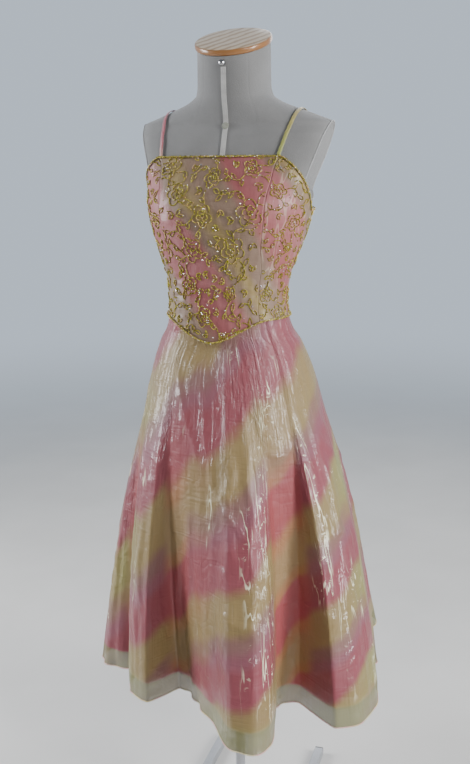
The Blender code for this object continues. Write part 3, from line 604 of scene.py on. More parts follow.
def fluted(fold, height):
    """Uneven upright flutes that deepen towards the hem, and slanting pulls across them, as sums of sines."""
    low = smooth_step((1.10 - height) / 0.55)
    along = fold * CLOTH_TO_RADIAN
    drift = 0.012 * np.sin(height * 9 + fold * 3) + 0.007 * np.sin(height * 21 - fold * 7)
    upright = np.sin((along + drift) * 2 * math.pi / 0.046) + 0.6 * np.sin((along - drift) * 2 * math.pi / 0.027 + 1)
    patchy = 0.5 + 0.5 * np.sin(height * 14 + 5 * np.sin(fold * 4.3))
    pulls = np.sin((0.62 * along + height) * 2 * math.pi / 0.052 + 1.7 * np.sin(fold * 6))
    pulls += 0.7 * np.sin((height - 0.5 * along) * 2 * math.pi / 0.034 + 2.1 * np.sin(fold * 9 + height * 12))
    return FLUTE_DEPTH * low * upright + PULL_DEPTH * patchy * (0.35 + 0.65 * low) * pulls


def wavy_hem(fold, height):
    """The rolled hem was stretched as it was sewn, so the last few centimetres ripple: two sines along the hem."""
    near = np.exp(-((height - SKIRT_HEM) / RIPPLE_REACH))
    along = fold * HEM_TO_RADIAN * 2 * math.pi
    ripple = np.sin(along / 0.072 + 2.4 * np.sin(fold * 5)) + 0.5 * np.sin(along / 0.041 + 1)
    return near * RIPPLE_DEPTH * ripple * (0.6 + 0.4 * np.sin(fold * 5))

# %% [markdown]
# ## The colour bands
# The dye lies in straight slanting bands, pink and then straw, fading to a greyish pink before the next pink. A
# slant is a height less so much for every metre walked round the skirt. The heights of the pink bands in front are
# a short table, because the bands are further apart near the waist than at the hem. The phase grows by 1 from one
# pink band to the next, and a ramp turns it into colour. Each panel measures its bands from its own middle, as
# cloth that was dyed before it was cut does.

# %% Phase of the bands
PINK_HEIGHTS = (2.155, 1.870, 1.585, 1.300, 1.012, 0.735, 0.520, 0.340, 0.170, 0.0, -0.170, -0.340)
BAND_SLANT, BAND_MIDDLE = 0.76, math.radians(17)
BACK_LEFT_LIFT, BACK_RIGHT_LIFT = -0.365, 0.494  # so that the bands meet at the side seams, half way down
NEAR_TURN, TURN_FADE = 0.8, 0.6  # beyond this turn from its middle, a panel is measured on the flare without folds


def band_panel(fold):
    """The azimuth that a panel's bands are measured from, and how far they are lifted."""
    middle = float(np.mean(fold)) - DRESS_TURN
    if middle < SIDE_SEAM:
        return BAND_MIDDLE, 0.0
    if middle < math.pi:
        return DRESS_TURN + 1.5 * SIDE_SEAM, BACK_LEFT_LIFT
    return DRESS_TURN + 2.5 * SIDE_SEAM, BACK_RIGHT_LIFT


def band_phase(fold, height, points):
    """Bands counted downwards: (height - slant x distance round) between the table's pink heights."""
    middle, lifted = band_panel(fold)
    turn = swung(fold, height) - middle
    plain = flare(fold, height)
    away = smooth_step((np.abs(turn) - NEAR_TURN) / TURN_FADE)
    radius = np.hypot(points[..., 0], points[..., 1])
    round_it = (radius + (np.hypot(plain[..., 0], plain[..., 1]) - radius) * away) * turn
    uneven = 0.010 * np.sin(fold * 9 + height * 7) + 0.006 * np.sin(fold * 23)
    level = lifted + height - BAND_SLANT * round_it + uneven
    knots = -np.array(PINK_HEIGHTS)
    return np.interp(-level, knots, np.arange(len(knots))) + 1.0


def in_valley(fold, height):
    """Where the painted shade goes: 1 where a fold runs far in behind its neighbours, 0 on the folds that stand out.
    """
    low = smooth_step((1.02 - height) / 0.25)
    beside = sum(around(fold + math.radians(turn), "hem_radius") for turn in (-14, -9, 9, 14)) / 4
    return smooth_step((beside - around(fold, "hem_radius") - 0.004) / 0.055) * low


print(len(PINK_HEIGHTS), "pink bands")

# %% Creases that face a window, with painted highlights, and the lime sides, with painted sheen
# Painted highlights where creases catch the light: azimuth at the hem, top and bottom, half width in metres of cloth,
# and how much.
GLINT_COLUMNS = ("azimuth_deg", "top", "bottom", "half_width", "share")
GLINTS = (
    (26, 0.96, 0.43, 0.013, 1.0),
    (20, 0.86, 0.44, 0.012, 0.55),
    (47, 0.99, 0.58, 0.011, 1.0),
    (51, 0.66, 0.43, 0.014, 0.45),
    (33, 1.06, 0.91, 0.028, 0.9),
    (19, 1.13, 1.04, 0.034, 0.8),
    (40, 1.10, 1.02, 0.020, 0.6),
    (59, 0.71, 0.56, 0.022, 1.0),
    (61, 0.89, 0.79, 0.018, 1.0),
    (66, 0.55, 0.42, 0.034, 0.75),
    (7, 0.88, 0.70, 0.016, 0.45),
    (-4, 0.62, 0.50, 0.018, 0.35),
    (-12, 1.02, 0.90, 0.020, 0.35),
    (-30, 0.88, 0.50, 0.014, 0.45),
    (-38, 1.03, 0.80, 0.012, 0.45),
    (-62, 0.92, 0.46, 0.016, 0.7),
    (-94, 0.95, 0.45, 0.014, 0.9),
    (-104, 0.80, 0.66, 0.024, 0.6),
    (-131, 0.96, 0.45, 0.014, 0.9),
    (-140, 0.70, 0.52, 0.024, 0.6),
    (-166, 0.95, 0.44, 0.014, 0.8),
    (84, 0.92, 0.50, 0.015, 0.8),
    (95, 0.72, 0.52, 0.024, 0.8),
    (129, 0.96, 0.45, 0.014, 0.9),
    (137, 0.84, 0.68, 0.024, 0.6),
    (163, 0.95, 0.44, 0.014, 0.9),
    (176, 0.70, 0.52, 0.022, 0.5),
)
glint_table = columns_of(GLINTS, GLINT_COLUMNS)


def glinting(fold, height):
    """For each row, share x exp(-(distance / half width)^2) between its top and bottom, whose ends fade."""
    found = np.zeros(np.broadcast(fold, height).shape)
    for azimuth, top, bottom, half_width, share in zip(*glint_table.values()):
        ends = smooth_step((top - height) / 0.05) * smooth_step((height - bottom) / 0.05)
        for turn in (-2 * math.pi, 0.0):
            off = (fold + turn - math.radians(azimuth)) * CLOTH_TO_RADIAN + 0.004 * np.sin(height * 26 + azimuth)
            found += share * ends * np.exp(-((off / half_width) ** 2))
    return np.minimum(found, 1.0)


print(len(GLINTS), "bright creases")
# The lime bells at the outermost folds are painted sheen; LIME_HEM is the share of lime along the hem.
LIME_SHEEN_AZIMUTHS, LIME_WIDTH, LIME_HEM = np.radians((-46, 70, 150, -128)), math.radians(12), 0.8


def lime_sheen_and_hem(fold, height):
    """1 where the straw turns lime: painted sheen in a bell in azimuth at each outermost fold, and a strip along the
    hem.
    """
    turn = (fold + math.pi) % (2 * math.pi) - math.pi
    bells = sum(np.exp(-(((turn - side) / LIME_WIDTH) ** 2)) for side in LIME_SHEEN_AZIMUTHS)
    low = smooth_step((SKIRT_HEM + 0.05 - height) / 0.03)
    return np.minimum(bells * smooth_step((1.06 - height) / 0.2) + LIME_HEM * low, 1.0)

# %% [markdown]
# ## The organza finish
# Crystal organza is woven from glassy threads, so it is sheer and shines in thin broken lines along its creases. A
# film with its own bump gives the broad shine. The thin lines are narrower than a render's samples can find, so
# they are painted highlights drawn into the colour: the contours of a noise that is stretched along the cloth, kept
# where a fold faces a window.

# %% Dyes, and the colours of painted shade, sheen and highlights
PINK, MAUVE, GREY_PINK = (0.225, 0.054, 0.068), (0.215, 0.074, 0.094), (0.195, 0.100, 0.088)
STRAW, LIME, OLIVE = (0.235, 0.165, 0.070), (0.235, 0.225, 0.075), (0.27, 0.178, 0.086)
PALE_ROSE, ROSE, TAUPE = (0.29, 0.104, 0.107), (0.265, 0.080, 0.084), (0.205, 0.138, 0.100)
SAND, CRIMSON, AMBER = (0.26, 0.190, 0.080), (0.290, 0.066, 0.072), (0.31, 0.150, 0.072)
# GLINT_COLOUR is the colour of the painted highlights on the creases.
GLINT_COLOUR, BARE_COLOUR, SHEEN_COLOUR = (0.86, 0.83, 0.60, 1), (0.135, 0.130, 0.032, 1), (0.90, 0.95, 0.50)
SKIRT_DYE = ((0.0, PINK), (0.17, PINK), (0.31, STRAW), (0.56, STRAW), (0.68, GREY_PINK), (0.82, MAUVE), (0.93, PINK))
# The dye with lime in place of straw, for the painted sheen at the sides.
LIME_SHEEN_DYE = ((0.0, PINK), (0.15, PINK), (0.29, LIME), (0.56, LIME), (0.68, STRAW), (0.84, MAUVE), (0.95, PINK))
BODICE_DYE = ((0.0, PALE_ROSE), (0.18, ROSE), (0.36, TAUPE), (0.52, TAUPE), (0.64, SAND), (0.75, TAUPE),
              (0.87, PALE_ROSE))
# Painted shade: darker, deeper colours for the fold valleys, standing in for shade and light bounced between the
# folds.
VALLEY_SHADE = ((0.0, CRIMSON), (0.24, CRIMSON), (0.36, AMBER), (0.50, OLIVE), (0.68, OLIVE), (0.80, AMBER),
              (0.88, CRIMSON))
LINING_HEM, SHEER, COVERED = SKIRT_HEM + 0.036, 0.86, 0.985
# GLINT_SHARE is how strongly the painted highlights cover the dye.
GLINT_SHARE, BARE_SHARE, RAGGED = 0.85, 0.80, 0.22
print("dyes:", len(SKIRT_DYE), "stops on the skirt,", len(BODICE_DYE), "on the bodice")

# %% The organza's colour and surface
def banded(tree, dye, sheen_dye):
    """The band's colour at the phase's fraction, with ragged edges, painted lime sheen at the sides and darker
    painted shade in the valleys.
    """
    blotch = maths(tree, "SUBTRACT", noise(tree, own(tree), 7.0, 4, 0.55, 0.3), 0.5)
    part = maths(tree, "FRACT", sum_of(tree, attribute(tree, "phase"), blotch, RAGGED))
    lit = blend(tree, attribute(tree, "side"), ramp(tree, part, *dye), ramp(tree, part, *sheen_dye))
    return blend(tree, attribute(tree, "valley"), lit, ramp(tree, part, *VALLEY_SHADE))


def painted_glints(tree, weave, dyed):
    """The same colour with painted highlights: bright contour lines and small splashes where the mesh carries a
    glint.
    """
    glint = attribute(tree, "glint")
    contour = off_middle(tree, noise(tree, scaled(tree, weave, (26, 5.0, 1)), 1.0, 3, 0.52, 0.4))
    broken = between(tree, noise(tree, scaled(tree, weave, (18, 16, 1)), 1.0, 2, 0.6, 0.5), 0.36, 0.52)
    thin = maths(tree, "MULTIPLY", between(tree, contour, 0.015, 0.004), broken)
    line = maths(tree, "MULTIPLY", thin, between(tree, glint, 0.08, 0.60))
    fleck = between(tree, noise(tree, scaled(tree, weave, (60, 110, 1)), 1.0, 2, 0.6, 0.8), 0.62, 0.68)
    splash = maths(tree, "MULTIPLY", fleck, between(tree, glint, 0.30, 0.95))
    bright = maths(tree, "MULTIPLY", maths(tree, "MAXIMUM", line, splash), GLINT_SHARE)
    return blend(tree, bright, dyed, GLINT_COLOUR)


def crumpled_surface(tree, shader, weave, depth):
    """Bumps of the cloth (creases, level pulls, weave) and, apart from them, of the shiny film over it."""
    crumple = noise(tree, weave, 20.0, 2, 0.5, 0.7)
    long_folds = noise(tree, scaled(tree, weave, (20, 2.2, 1)), 1.0, 1, 0.5, 0.7)
    long_creases = off_middle(tree, noise(tree, scaled(tree, weave, (44, 4, 1)), 1.0, 2, 0.5, 1.2))
    level = off_middle(tree, noise(tree, scaled(tree, weave, (6, 44, 1)), 1.0, 2, 0.5, 1.0))
    cloth = bumped(tree, shader, sum_of(tree, off_middle(tree, crumple), long_creases, 0.5), 0.0060 * depth)
    cloth = bumped(tree, shader, level, 0.0036 * depth, under=cloth)
    bumped(tree, shader, noise(tree, weave, 900.0, 1), 0.0003, 0.4, under=cloth)
    film = node(tree, "Bump", {"Height": sum_of(tree, long_folds, long_creases, 0.30), "Distance": 0.016 * depth})
    film = node(tree, "Bump", {"Height": crumple, "Distance": 0.005 * depth, "Normal": film.outputs[0]})
    tree.links.new(film.outputs[0], shader.inputs["Coat Normal"])


def organza(name, dye, sheen_dye, sheer, film_weight, sheen, crumpled):
    """Banded dye with painted shade and sheen, under a shiny film, painted highlights on the creases and yellow-green
    where nothing lies under it.
    """
    made, tree, shader = finish(
        name, Roughness=0.52, Specular_IOR_Level=0.32, Coat_Weight=film_weight, Coat_Roughness=0.08,
        Sheen_Weight=sheen, Sheen_Roughness=0.25, Sheen_Tint=SHEEN_COLOUR)
    weave, cover = node(tree, "UVMap").outputs["UV"], attribute(tree, "cover")
    glinted_colour = painted_glints(tree, weave, banded(tree, dye, sheen_dye))
    bare = maths(tree, "MULTIPLY", between(tree, cover, 0.97, 0.88), BARE_SHARE)
    tree.links.new(blend(tree, bare, glinted_colour, BARE_COLOUR), shader.inputs["Base Color"])
    crumpled_surface(tree, shader, weave, crumpled)
    if sheer:
        tree.links.new(cover, shader.inputs["Alpha"])
    return made


skirt_organza = organza("organza", SKIRT_DYE, LIME_SHEEN_DYE, sheer=True, film_weight=0.36, sheen=0.24, crumpled=0.7)
print("organza:", len(skirt_organza.node_tree.nodes), "nodes")

# %% Skirt panels
skirt_heights = np.linspace(SKIRT_TOP, SKIRT_HEM, SKIRT_ROWS)
skirt_grids = {}
for word, first, last, columns in SKIRT_PANELS:
    azimuths = fold_columns(first, last, columns)
    fold, height = np.meshgrid(azimuths, skirt_heights)
    smooth = skirt(fold, height)
    free = smooth_step((lower_edge(swung(fold, height)) - 0.012 - height) / 0.06)
    lift = free * (creased(fold, height) + fluted(fold, height) + wavy_hem(fold, height))
    cloth = smooth + grid_normals(smooth) * lift[..., None]
    shift = np.zeros(columns)
    shift[0], shift[-1] = 0.5 * GAP, -0.5 * GAP
    cloth += unit(np.gradient(cloth, axis=1)) * shift[None, :, None]
    uv = flat_map(walk(smooth[-1]), skirt_heights)
    cover = COVERED - (COVERED - SHEER) * smooth_step((LINING_HEM + 0.004 - height) / 0.010)
    # The values carry the painted highlights (glint), the painted shade (valley) and the painted lime sheen (side).
    mesh = grid_mesh(f"skirt_{word}_cloth", cloth, uv, phase=band_phase(fold, height, smooth),
                     valley=in_valley(fold, height), cover=cover, glint=glinting(fold, height),
                     side=lime_sheen_and_hem(fold, height))
    made = piece(f"skirt_{word}_cloth", mesh, skirt_organza, "organza", f"skirt_{word}")
    skirt_grids[word] = cloth

# %% [markdown]
# ## The rolled hem
# The skirt's edge is rolled over a fine filament and stitched, which makes a round, rippling edge. A thin tube
# along the last row of the sheet gives the light something to catch, and it ripples because the sheet does.

# %% Tube helper and the hem
def tube_points(path, normal, half_width, half_depth, sides):
    """Rings round a path: path + half_width cos t across it + half_depth sin t along the normal."""
    along = unit(np.gradient(path, axis=0))
    across = unit(np.cross(along, normal))
    out = np.cross(across, along)
    turns = (np.arange(sides) + 0.5) * 2 * math.pi / sides
    wide, deep = np.broadcast_to(half_width, len(path)), np.broadcast_to(half_depth, len(path))
    return (
        path[:, None]
        + (wide[:, None] * np.cos(turns))[..., None] * across[:, None]
        + (deep[:, None] * np.sin(turns))[..., None] * out[:, None]
    )


def tube_mesh(name, path, normal, half_width, half_depth, sides, **values):
    """A tube with rounded, closed ends: the first and last three rings narrow, and the open ends are capped."""
    ends = np.sqrt(np.clip(1 - (1 - np.arange(1, 4) / 3) ** 2, 0.02, 1))
    profile = np.concatenate((ends, np.ones(len(path) - 6), ends[::-1]))
    rings = tube_points(path, normal, half_width * profile, half_depth * profile, sides)
    uv = flat_map(np.arange(sides) / sides, walk(path))
    values = {word: np.asarray(array)[:, None] for word, array in values.items()}
    mesh = grid_mesh(name, rings, uv, round_columns=True, **values)
    closed_ends(mesh, rings.shape[0], sides)
    return mesh


HEM_ROLL = 0.0011
hem_finish = mottled("rolled_hem", 16.0, 2, (0.35, (0.62, 0.50, 0.20)), (0.5, (0.66, 0.36, 0.36)),
                     (0.64, (0.58, 0.52, 0.30)), bump=(700.0, 2, 0.0006), Roughness=0.4, Sheen_Weight=0.3)
for word, cloth in skirt_grids.items():
    path = cloth[-1, 1:-1] + np.array([0, 0, HEM_ROLL * 0.6])
    mesh = tube_mesh(f"skirt_{word}_hem", path, grid_normals(cloth)[-1, 1:-1], HEM_ROLL, HEM_ROLL, 6)
    piece(f"skirt_{word}_hem", mesh, hem_finish, "organza")
    print(f"hem of skirt_{word}", round(walk(path)[-1], 3), "m")

# %% [markdown]
# ## The lining
# Under the organza hangs a plain pink lining, 36 mm shorter, which only shows through the sheer cloth and by where
# it ends. It is the skirt's smooth surface moved inwards, on a coarser grid, because nothing of it is seen close by.

# %% Lining panels
LINING_GAP_TOP, LINING_GAP_LOW, LINING_STEP, LINING_ROWS = 0.0016, 0.0052, 3, 60
lining_finish, lining_tree, lining_shader = finish("lining_cloth", Roughness=0.5, Sheen_Weight=0.25)
lining_shade = ramp(lining_tree, noise(lining_tree, own(lining_tree), 12.0, 3), (0.3, (0.40, 0.13, 0.13)),
                    (0.7, (0.50, 0.20, 0.18)))
lining_tree.links.new(lining_shade, lining_shader.inputs["Base Color"])
lining_weave = scaled(lining_tree, node(lining_tree, "UVMap").outputs[0], (40, 8, 1))
bumped(lining_tree, lining_shader, noise(lining_tree, lining_weave, 1.0, 3), 0.004)
lining_heights = np.linspace(SKIRT_TOP, LINING_HEM, LINING_ROWS)
for word, first, last, columns in SKIRT_PANELS:
    fold, height = np.meshgrid(fold_columns(first, last, columns // LINING_STEP), lining_heights)
    outer = skirt(fold, height)
    inwards = LINING_GAP_TOP + (LINING_GAP_LOW - LINING_GAP_TOP) * smooth_step((1.10 - height) / 0.10)
    cloth = outer - grid_normals(outer) * inwards[..., None]
    mesh = grid_mesh(f"lining_{word}_cloth", cloth, flat_map(walk(cloth[-1]), lining_heights))
    piece(f"lining_{word}_cloth", mesh, lining_finish, "lining", f"lining_{word}")

# %% [markdown]
# ## The bodice
# The bodice is cut in five panels that are fitted close to the figure: a front between two curved seams, two
# sides and two backs. Each is the bodice's own surface between its seams, with faint pulls where close-fitting
# cloth strains, and a real thickness turned inwards.

# %% Seams of the bodice
BODICE_ROWS, BODICE_THICK, SEAM_HAIR = 96, 0.0011, 0.0012
BODICE_PINK, BODICE_SPACING, BODICE_SLANT, BODICE_RADIUS, RIGHT_SLOWER = 1.485, 0.32, 1.38, 0.135, 0.74


def princess(side):
    """The seam's azimuth as a function of the share of the bodice's height, 0 at its lower edge."""
    return lambda share: DRESS_TURN + side * np.radians(
        eased(share, princess_table["share_of_height"], princess_table["azimuth_deg"])
    )


def upright(from_front):
    """A seam that stays at one azimuth, given from the dress's own front."""
    return lambda share: DRESS_TURN + from_front + 0 * share


def bodice_grid(first, last, columns):
    """Azimuths and heights of one panel between two seams, a hair inside each."""
    share = np.linspace(1, 0, BODICE_ROWS)[:, None]
    edges = (first(share) + SEAM_HAIR, last(share) - SEAM_HAIR)
    azimuth = edges[0] + (edges[1] - edges[0]) * np.linspace(0, 1, columns)[None, :]
    top, bottom = upper_edge(azimuth), lower_edge(azimuth)
    return azimuth, bottom + (top - bottom) * share

# %% Pulls and bands of the bodice
def strained(azimuth, height):
    """Faint level pulls at the waist and slanting ones from the bust, as sums of sines."""
    waist = np.exp(-(((height - 1.20) / 0.05) ** 2))
    level = np.sin(height * 2 * math.pi / 0.017 + 2.2 * np.sin(azimuth * 3.1) + 0.8 * np.sin(azimuth * 9))
    slant = np.sin((height + 0.05 * np.abs(azimuth)) * 2 * math.pi / 0.031 + 1.5 * np.sin(azimuth * 4.4))
    upright_pulls = np.sin(azimuth * 2 * math.pi / 0.16 + 4 * np.sin(height * 17))
    return 0.00035 * waist * level + 0.00022 * slant + 0.00018 * upright_pulls


def bodice_phase(azimuth, height):
    """The same bands slant the other way on the bodice: (height + slant x distance round) over their spacing."""
    round_it = BODICE_RADIUS * (azimuth - BAND_MIDDLE)
    round_it = np.where(round_it < 0, RIGHT_SLOWER * round_it, round_it)
    level = height + BODICE_SLANT * round_it + 0.008 * np.sin(azimuth * 7 + height * 31)
    return 10 + (BODICE_PINK - level) / BODICE_SPACING

# %% Bodice panels
bodice_finish = organza("bodice_organza", BODICE_DYE, BODICE_DYE, sheer=False, film_weight=0.14, sheen=0.10,
                        crumpled=0.35)
BODICE_PANELS = (
    ("front", princess(-1), princess(1), 110),
    ("side_right", upright(-SIDE_SEAM), princess(-1), 64),
    ("side_left", princess(1), upright(SIDE_SEAM), 64),
    ("back_right", upright(-math.pi), upright(-SIDE_SEAM), 96),
    ("back_left", upright(SIDE_SEAM), upright(math.pi), 96),
)
for word, first, last, columns in BODICE_PANELS:
    azimuth, height = bodice_grid(first, last, columns)
    cloth = bodice(azimuth, height) + normal_of(bodice, azimuth, height) * strained(azimuth, height)[..., None]
    walked = np.cumsum(np.linalg.norm(np.diff(cloth, axis=1, prepend=cloth[:, :1]), axis=-1), axis=1)
    uv = np.stack((walked, height), axis=-1)
    # Faint painted highlight lines on the left side panel only.
    mesh = grid_mesh(f"bodice_{word}_cloth", cloth, uv, phase=bodice_phase(azimuth, height), valley=0.0, cover=1.0,
                     glint=0.22 * (word == "side_left"), side=0.0)
    made = piece(f"bodice_{word}_cloth", mesh, bodice_finish, "beaded_organza", f"bodice_{word}")
    wall = made.modifiers.new("cloth thickness", "SOLIDIFY")
    wall.thickness, wall.offset = BODICE_THICK, -1

# %% [markdown]
# ## Beads by the thousand
# Each bead is a tiny icosahedron of twenty faces, which is round enough at two millimetres. All the beads of a
# panel are one mesh, made by adding one bead's points to every place at once.

# %% Bead helpers
def icosahedron():
    """Two poles and two staggered rings of five points at heights +-1/sqrt 5, as points and triangles."""
    turn = np.arange(5) * 2 * math.pi / 5
    level, reach = 1 / math.sqrt(5), 2 / math.sqrt(5)
    upper = np.stack((reach * np.cos(turn), reach * np.sin(turn), 0 * turn + level), axis=-1)
    turn = turn + math.pi / 5
    lower = np.stack((reach * np.cos(turn), reach * np.sin(turn), 0 * turn - level), axis=-1)
    points = np.concatenate(([[0, 0, 1]], upper, lower, [[0, 0, -1]]))
    here, after = np.arange(5), (np.arange(5) + 1) % 5
    faces = np.concatenate((
        np.stack((0 * here, 1 + here, 1 + after), axis=-1),
        np.stack((1 + here, 6 + here, 1 + after), axis=-1),
        np.stack((1 + after, 6 + here, 6 + after), axis=-1),
        np.stack((6 + here, 0 * here + 11, 6 + after), axis=-1),
    ))
    return points, faces


def sequin():
    """A little cup of six sides: a raised rim round a lower middle, with a back, as points and triangles."""
    turn = np.arange(6) * math.pi / 3
    rim = np.stack((np.cos(turn), np.sin(turn), 0 * turn + 0.35), axis=-1)
    points = np.concatenate((rim, [[0, 0, 0.12]], [[0, 0, -0.12]]))
    here, after = np.arange(6), (np.arange(6) + 1) % 6
    front = np.stack((here, after, 0 * here + 6), axis=-1)
    back = np.stack((after, here, 0 * here + 7), axis=-1)
    return points, np.concatenate((front, back))


def strewn(name, shape, places, frames, sizes, shades):
    """One mesh of many copies: point = place + size x (frame . shape point)."""
    points, faces = shape
    spread = places[:, None] + sizes[:, None, None] * np.einsum("pk,nkj->npj", points, frames)
    index = faces[None] + (np.arange(len(places)) * len(points))[:, None, None]
    mesh = bpy.data.meshes.new(name)
    mesh.from_pydata(spread.reshape(-1, 3).tolist(), [], index.reshape(-1, 3).tolist())
    held = mesh.attributes.new("shade", "FLOAT", "POINT")
    held.data.foreach_set("value", np.repeat(shades, len(points)).astype(np.float32))
    mesh.shade_smooth()
    return mesh


def frames_on(surface, azimuth, height):
    """For each place, three axes: along the ring, up the cloth and outwards."""
    out = normal_of(surface, azimuth, height)
    along = unit(surface(azimuth + 1e-4, height) - surface(azimuth - 1e-4, height))
    return np.stack((along, np.cross(out, along), out), axis=-2)

# %% [markdown]
# ## The bead embroidery
# Vines, leaves and open five-petalled flowers are outlined in small gold beads, with rows of seed beads inside
# and a few silver sequins between. The layout here is a plain one: flowers are set out at an even distance from
# each other, and a short curling vine with leaves grows from each. Every motif is drawn flat, as distances in
# metres across and up the cloth, and those become azimuth and height where the motif sits.

# %% Motifs, drawn flat
BEAD, PITCH = 0.00118, 0.0020  # radius of a bead and the distance between beads


def flower(radius):
    """Five petals: radius (0.66 + 0.34 |cos 2.5 t|), a smaller ring of the same shape, and a middle."""
    rings = []
    for share, deep in ((1.0, 0.34), (0.55, 0.30), (0.16, 0.0)):
        t = np.linspace(0, 2 * math.pi, max(int(2 * math.pi * radius * share * 1.2 / PITCH), 5), endpoint=False)
        r = radius * share * (1 - deep + deep * np.abs(np.cos(2.5 * t)))
        rings.append(np.stack((r * np.cos(t), r * np.sin(t)), axis=-1))
    return np.concatenate(rings)


def leaf(length, width):
    """An almond from 0 to length: half width = width/2 sin(pi t)."""
    t = np.linspace(0, 1, int(length * 1.15 / PITCH) + 1)
    side = width / 2 * np.sin(math.pi * t)
    return np.concatenate((np.stack((length * t, side), axis=-1), np.stack((length * t, -side), axis=-1)[1:-1]))


def turned_by(points, angle):
    """Flat points turned about the motif's own origin."""
    c, s = math.cos(angle), math.sin(angle)
    return points @ np.array([[c, s], [-s, c]])


def vine(heading, length, curl):
    """A stem that bends one way and then the other: heading + curl sin(2 pi s / length) at a way s along it."""
    steps = np.arange(0, length, PITCH)
    headings = heading + curl * np.sin(2 * math.pi * steps / length)
    path = np.cumsum(np.stack((np.cos(headings), np.sin(headings)), axis=-1) * PITCH, axis=0)
    return path, headings

# %% The layout of one panel
def clear_of(points, taken, room):
    """Which of these flat points are at least this far from all the beads that are already there."""
    if not len(taken):
        return np.ones(len(points), bool)
    apart = np.hypot(points[:, None, 0] - taken[None, :, 0], points[:, None, 1] - taken[None, :, 1])
    return apart.min(axis=1) > room


STEM_ROOM, TOUCHING, LEAF_ROOM, SPRIG_ROOM = 0.0042, 0.0015, 0.0034, 0.0058


def embroidered(rng, width, tall, radius, apart, reach, leaf_length):
    """Flowers a set distance apart, then vines that grow until they meet something, then leaves and sprigs."""
    places = np.zeros((0, 2))
    for dart in rng.uniform((0, 0), (width, tall), (3000, 2)):
        if clear_of(dart[None], places, apart)[0]:
            places = np.vstack((places, dart))
    beads = [place + turned_by(flower(radius * rng.uniform(0.62, 1.22)), rng.uniform(0, 6.3)) for place in places]
    taken = np.concatenate(beads)
    for place in places:
        heading = rng.uniform(0, 2 * math.pi)
        for branch in range(3):
            way = heading + branch * 2 * math.pi / 3 + rng.uniform(-0.5, 0.5)
            path, headings = vine(way, reach * rng.uniform(0.9, 1.7), rng.choice((-1, 1)) * rng.uniform(0.7, 1.2))
            path = place + path
            outside = np.hypot(*(path - place).T) > 0.55 * radius
            own = np.hypot(*(taken - place).T) < 1.45 * radius
            free = clear_of(path, taken[~own], STEM_ROOM) | ~outside
            stop = len(path) if free.all() else int(np.argmin(free))
            path, headings = path[:stop], headings[:stop]
            path = path[clear_of(path, taken, TOUCHING)]
            if len(path) < 6:
                continue
            headings = headings[-len(path):]
            leaves = []
            for count, at in enumerate(range(2, len(path), max(int(leaf_length * 0.75 / PITCH), 3))):
                turn = headings[at] + (1 if count % 2 else -1) * rng.uniform(0.6, 0.95)
                blade = path[at] + turned_by(leaf(leaf_length * rng.uniform(0.7, 1.05), leaf_length * 0.42), turn)
                if clear_of(blade[3:], np.concatenate((taken, *leaves)), LEAF_ROOM).all():
                    leaves.append(blade)
            tip = path[-1] + turned_by(leaf(leaf_length, leaf_length * 0.45), headings[-1])
            if clear_of(tip[3:], np.concatenate((taken, *leaves)), LEAF_ROOM).all():
                leaves.append(tip)
            beads += [path, *leaves]
            taken = np.concatenate((taken, path, *leaves))
    for dart in rng.uniform((0, 0), (width, tall), (1500, 2)):
        turn = rng.uniform(0, 2 * math.pi)
        sprig = [dart + turned_by(leaf(leaf_length * 0.8, leaf_length * 0.34), turn + way) for way in (-0.5, 0.5)]
        sprig = np.concatenate(sprig)
        if clear_of(sprig, taken, SPRIG_ROOM).all():
            beads.append(sprig)
            taken = np.concatenate((taken, sprig))
    return np.concatenate(beads)

# %% Finishes of the beads and sequins
def assorted(name, *stops, **sockets):
    """A finish for strewn pieces: each one's own shade, from 0 to 1, picks its colour from a ramp."""
    made, tree, shader = finish(name, **sockets)
    tree.links.new(ramp(tree, attribute(tree, "shade"), *stops), shader.inputs["Base Color"])
    return made


bead_finish = assorted("gold_beads", (0.0, (0.13, 0.11, 0.008)), (0.35, (0.28, 0.24, 0.014)),
                       (0.7, (0.44, 0.39, 0.035)), (0.93, (0.50, 0.28, 0.14)), (1.0, (0.85, 0.78, 0.66)),
                       Roughness=0.2, Metallic=0.4)
sequin_finish = assorted("silver_sequins", (0.0, (0.62, 0.60, 0.62)), (0.6, (0.85, 0.83, 0.84)),
                         (1.0, (0.88, 0.72, 0.74)), Roughness=0.12, Metallic=0.9)
print("bead radius", BEAD, "m, one every", PITCH, "m")

# %% Beading on the panels
def share_up(azimuth, height):
    """0 at the bodice's lower edge and 1 at its upper edge."""
    return (height - lower_edge(azimuth)) / (upper_edge(azimuth) - lower_edge(azimuth))


BODICE_TO_RADIAN = 0.125  # metres of cloth to a radian of azimuth, on average
BEYOND_SEAM, EDGE_ROOM, SEAM_ROOM, SQUEEZED = 0.15, 0.0046, 0.0022, 0.0017
LOOSE_BEADS, SEQUINS, SEQUIN, SEQUIN_ROOM = 18, 42, 0.0012, 0.03  # the first two to a radian
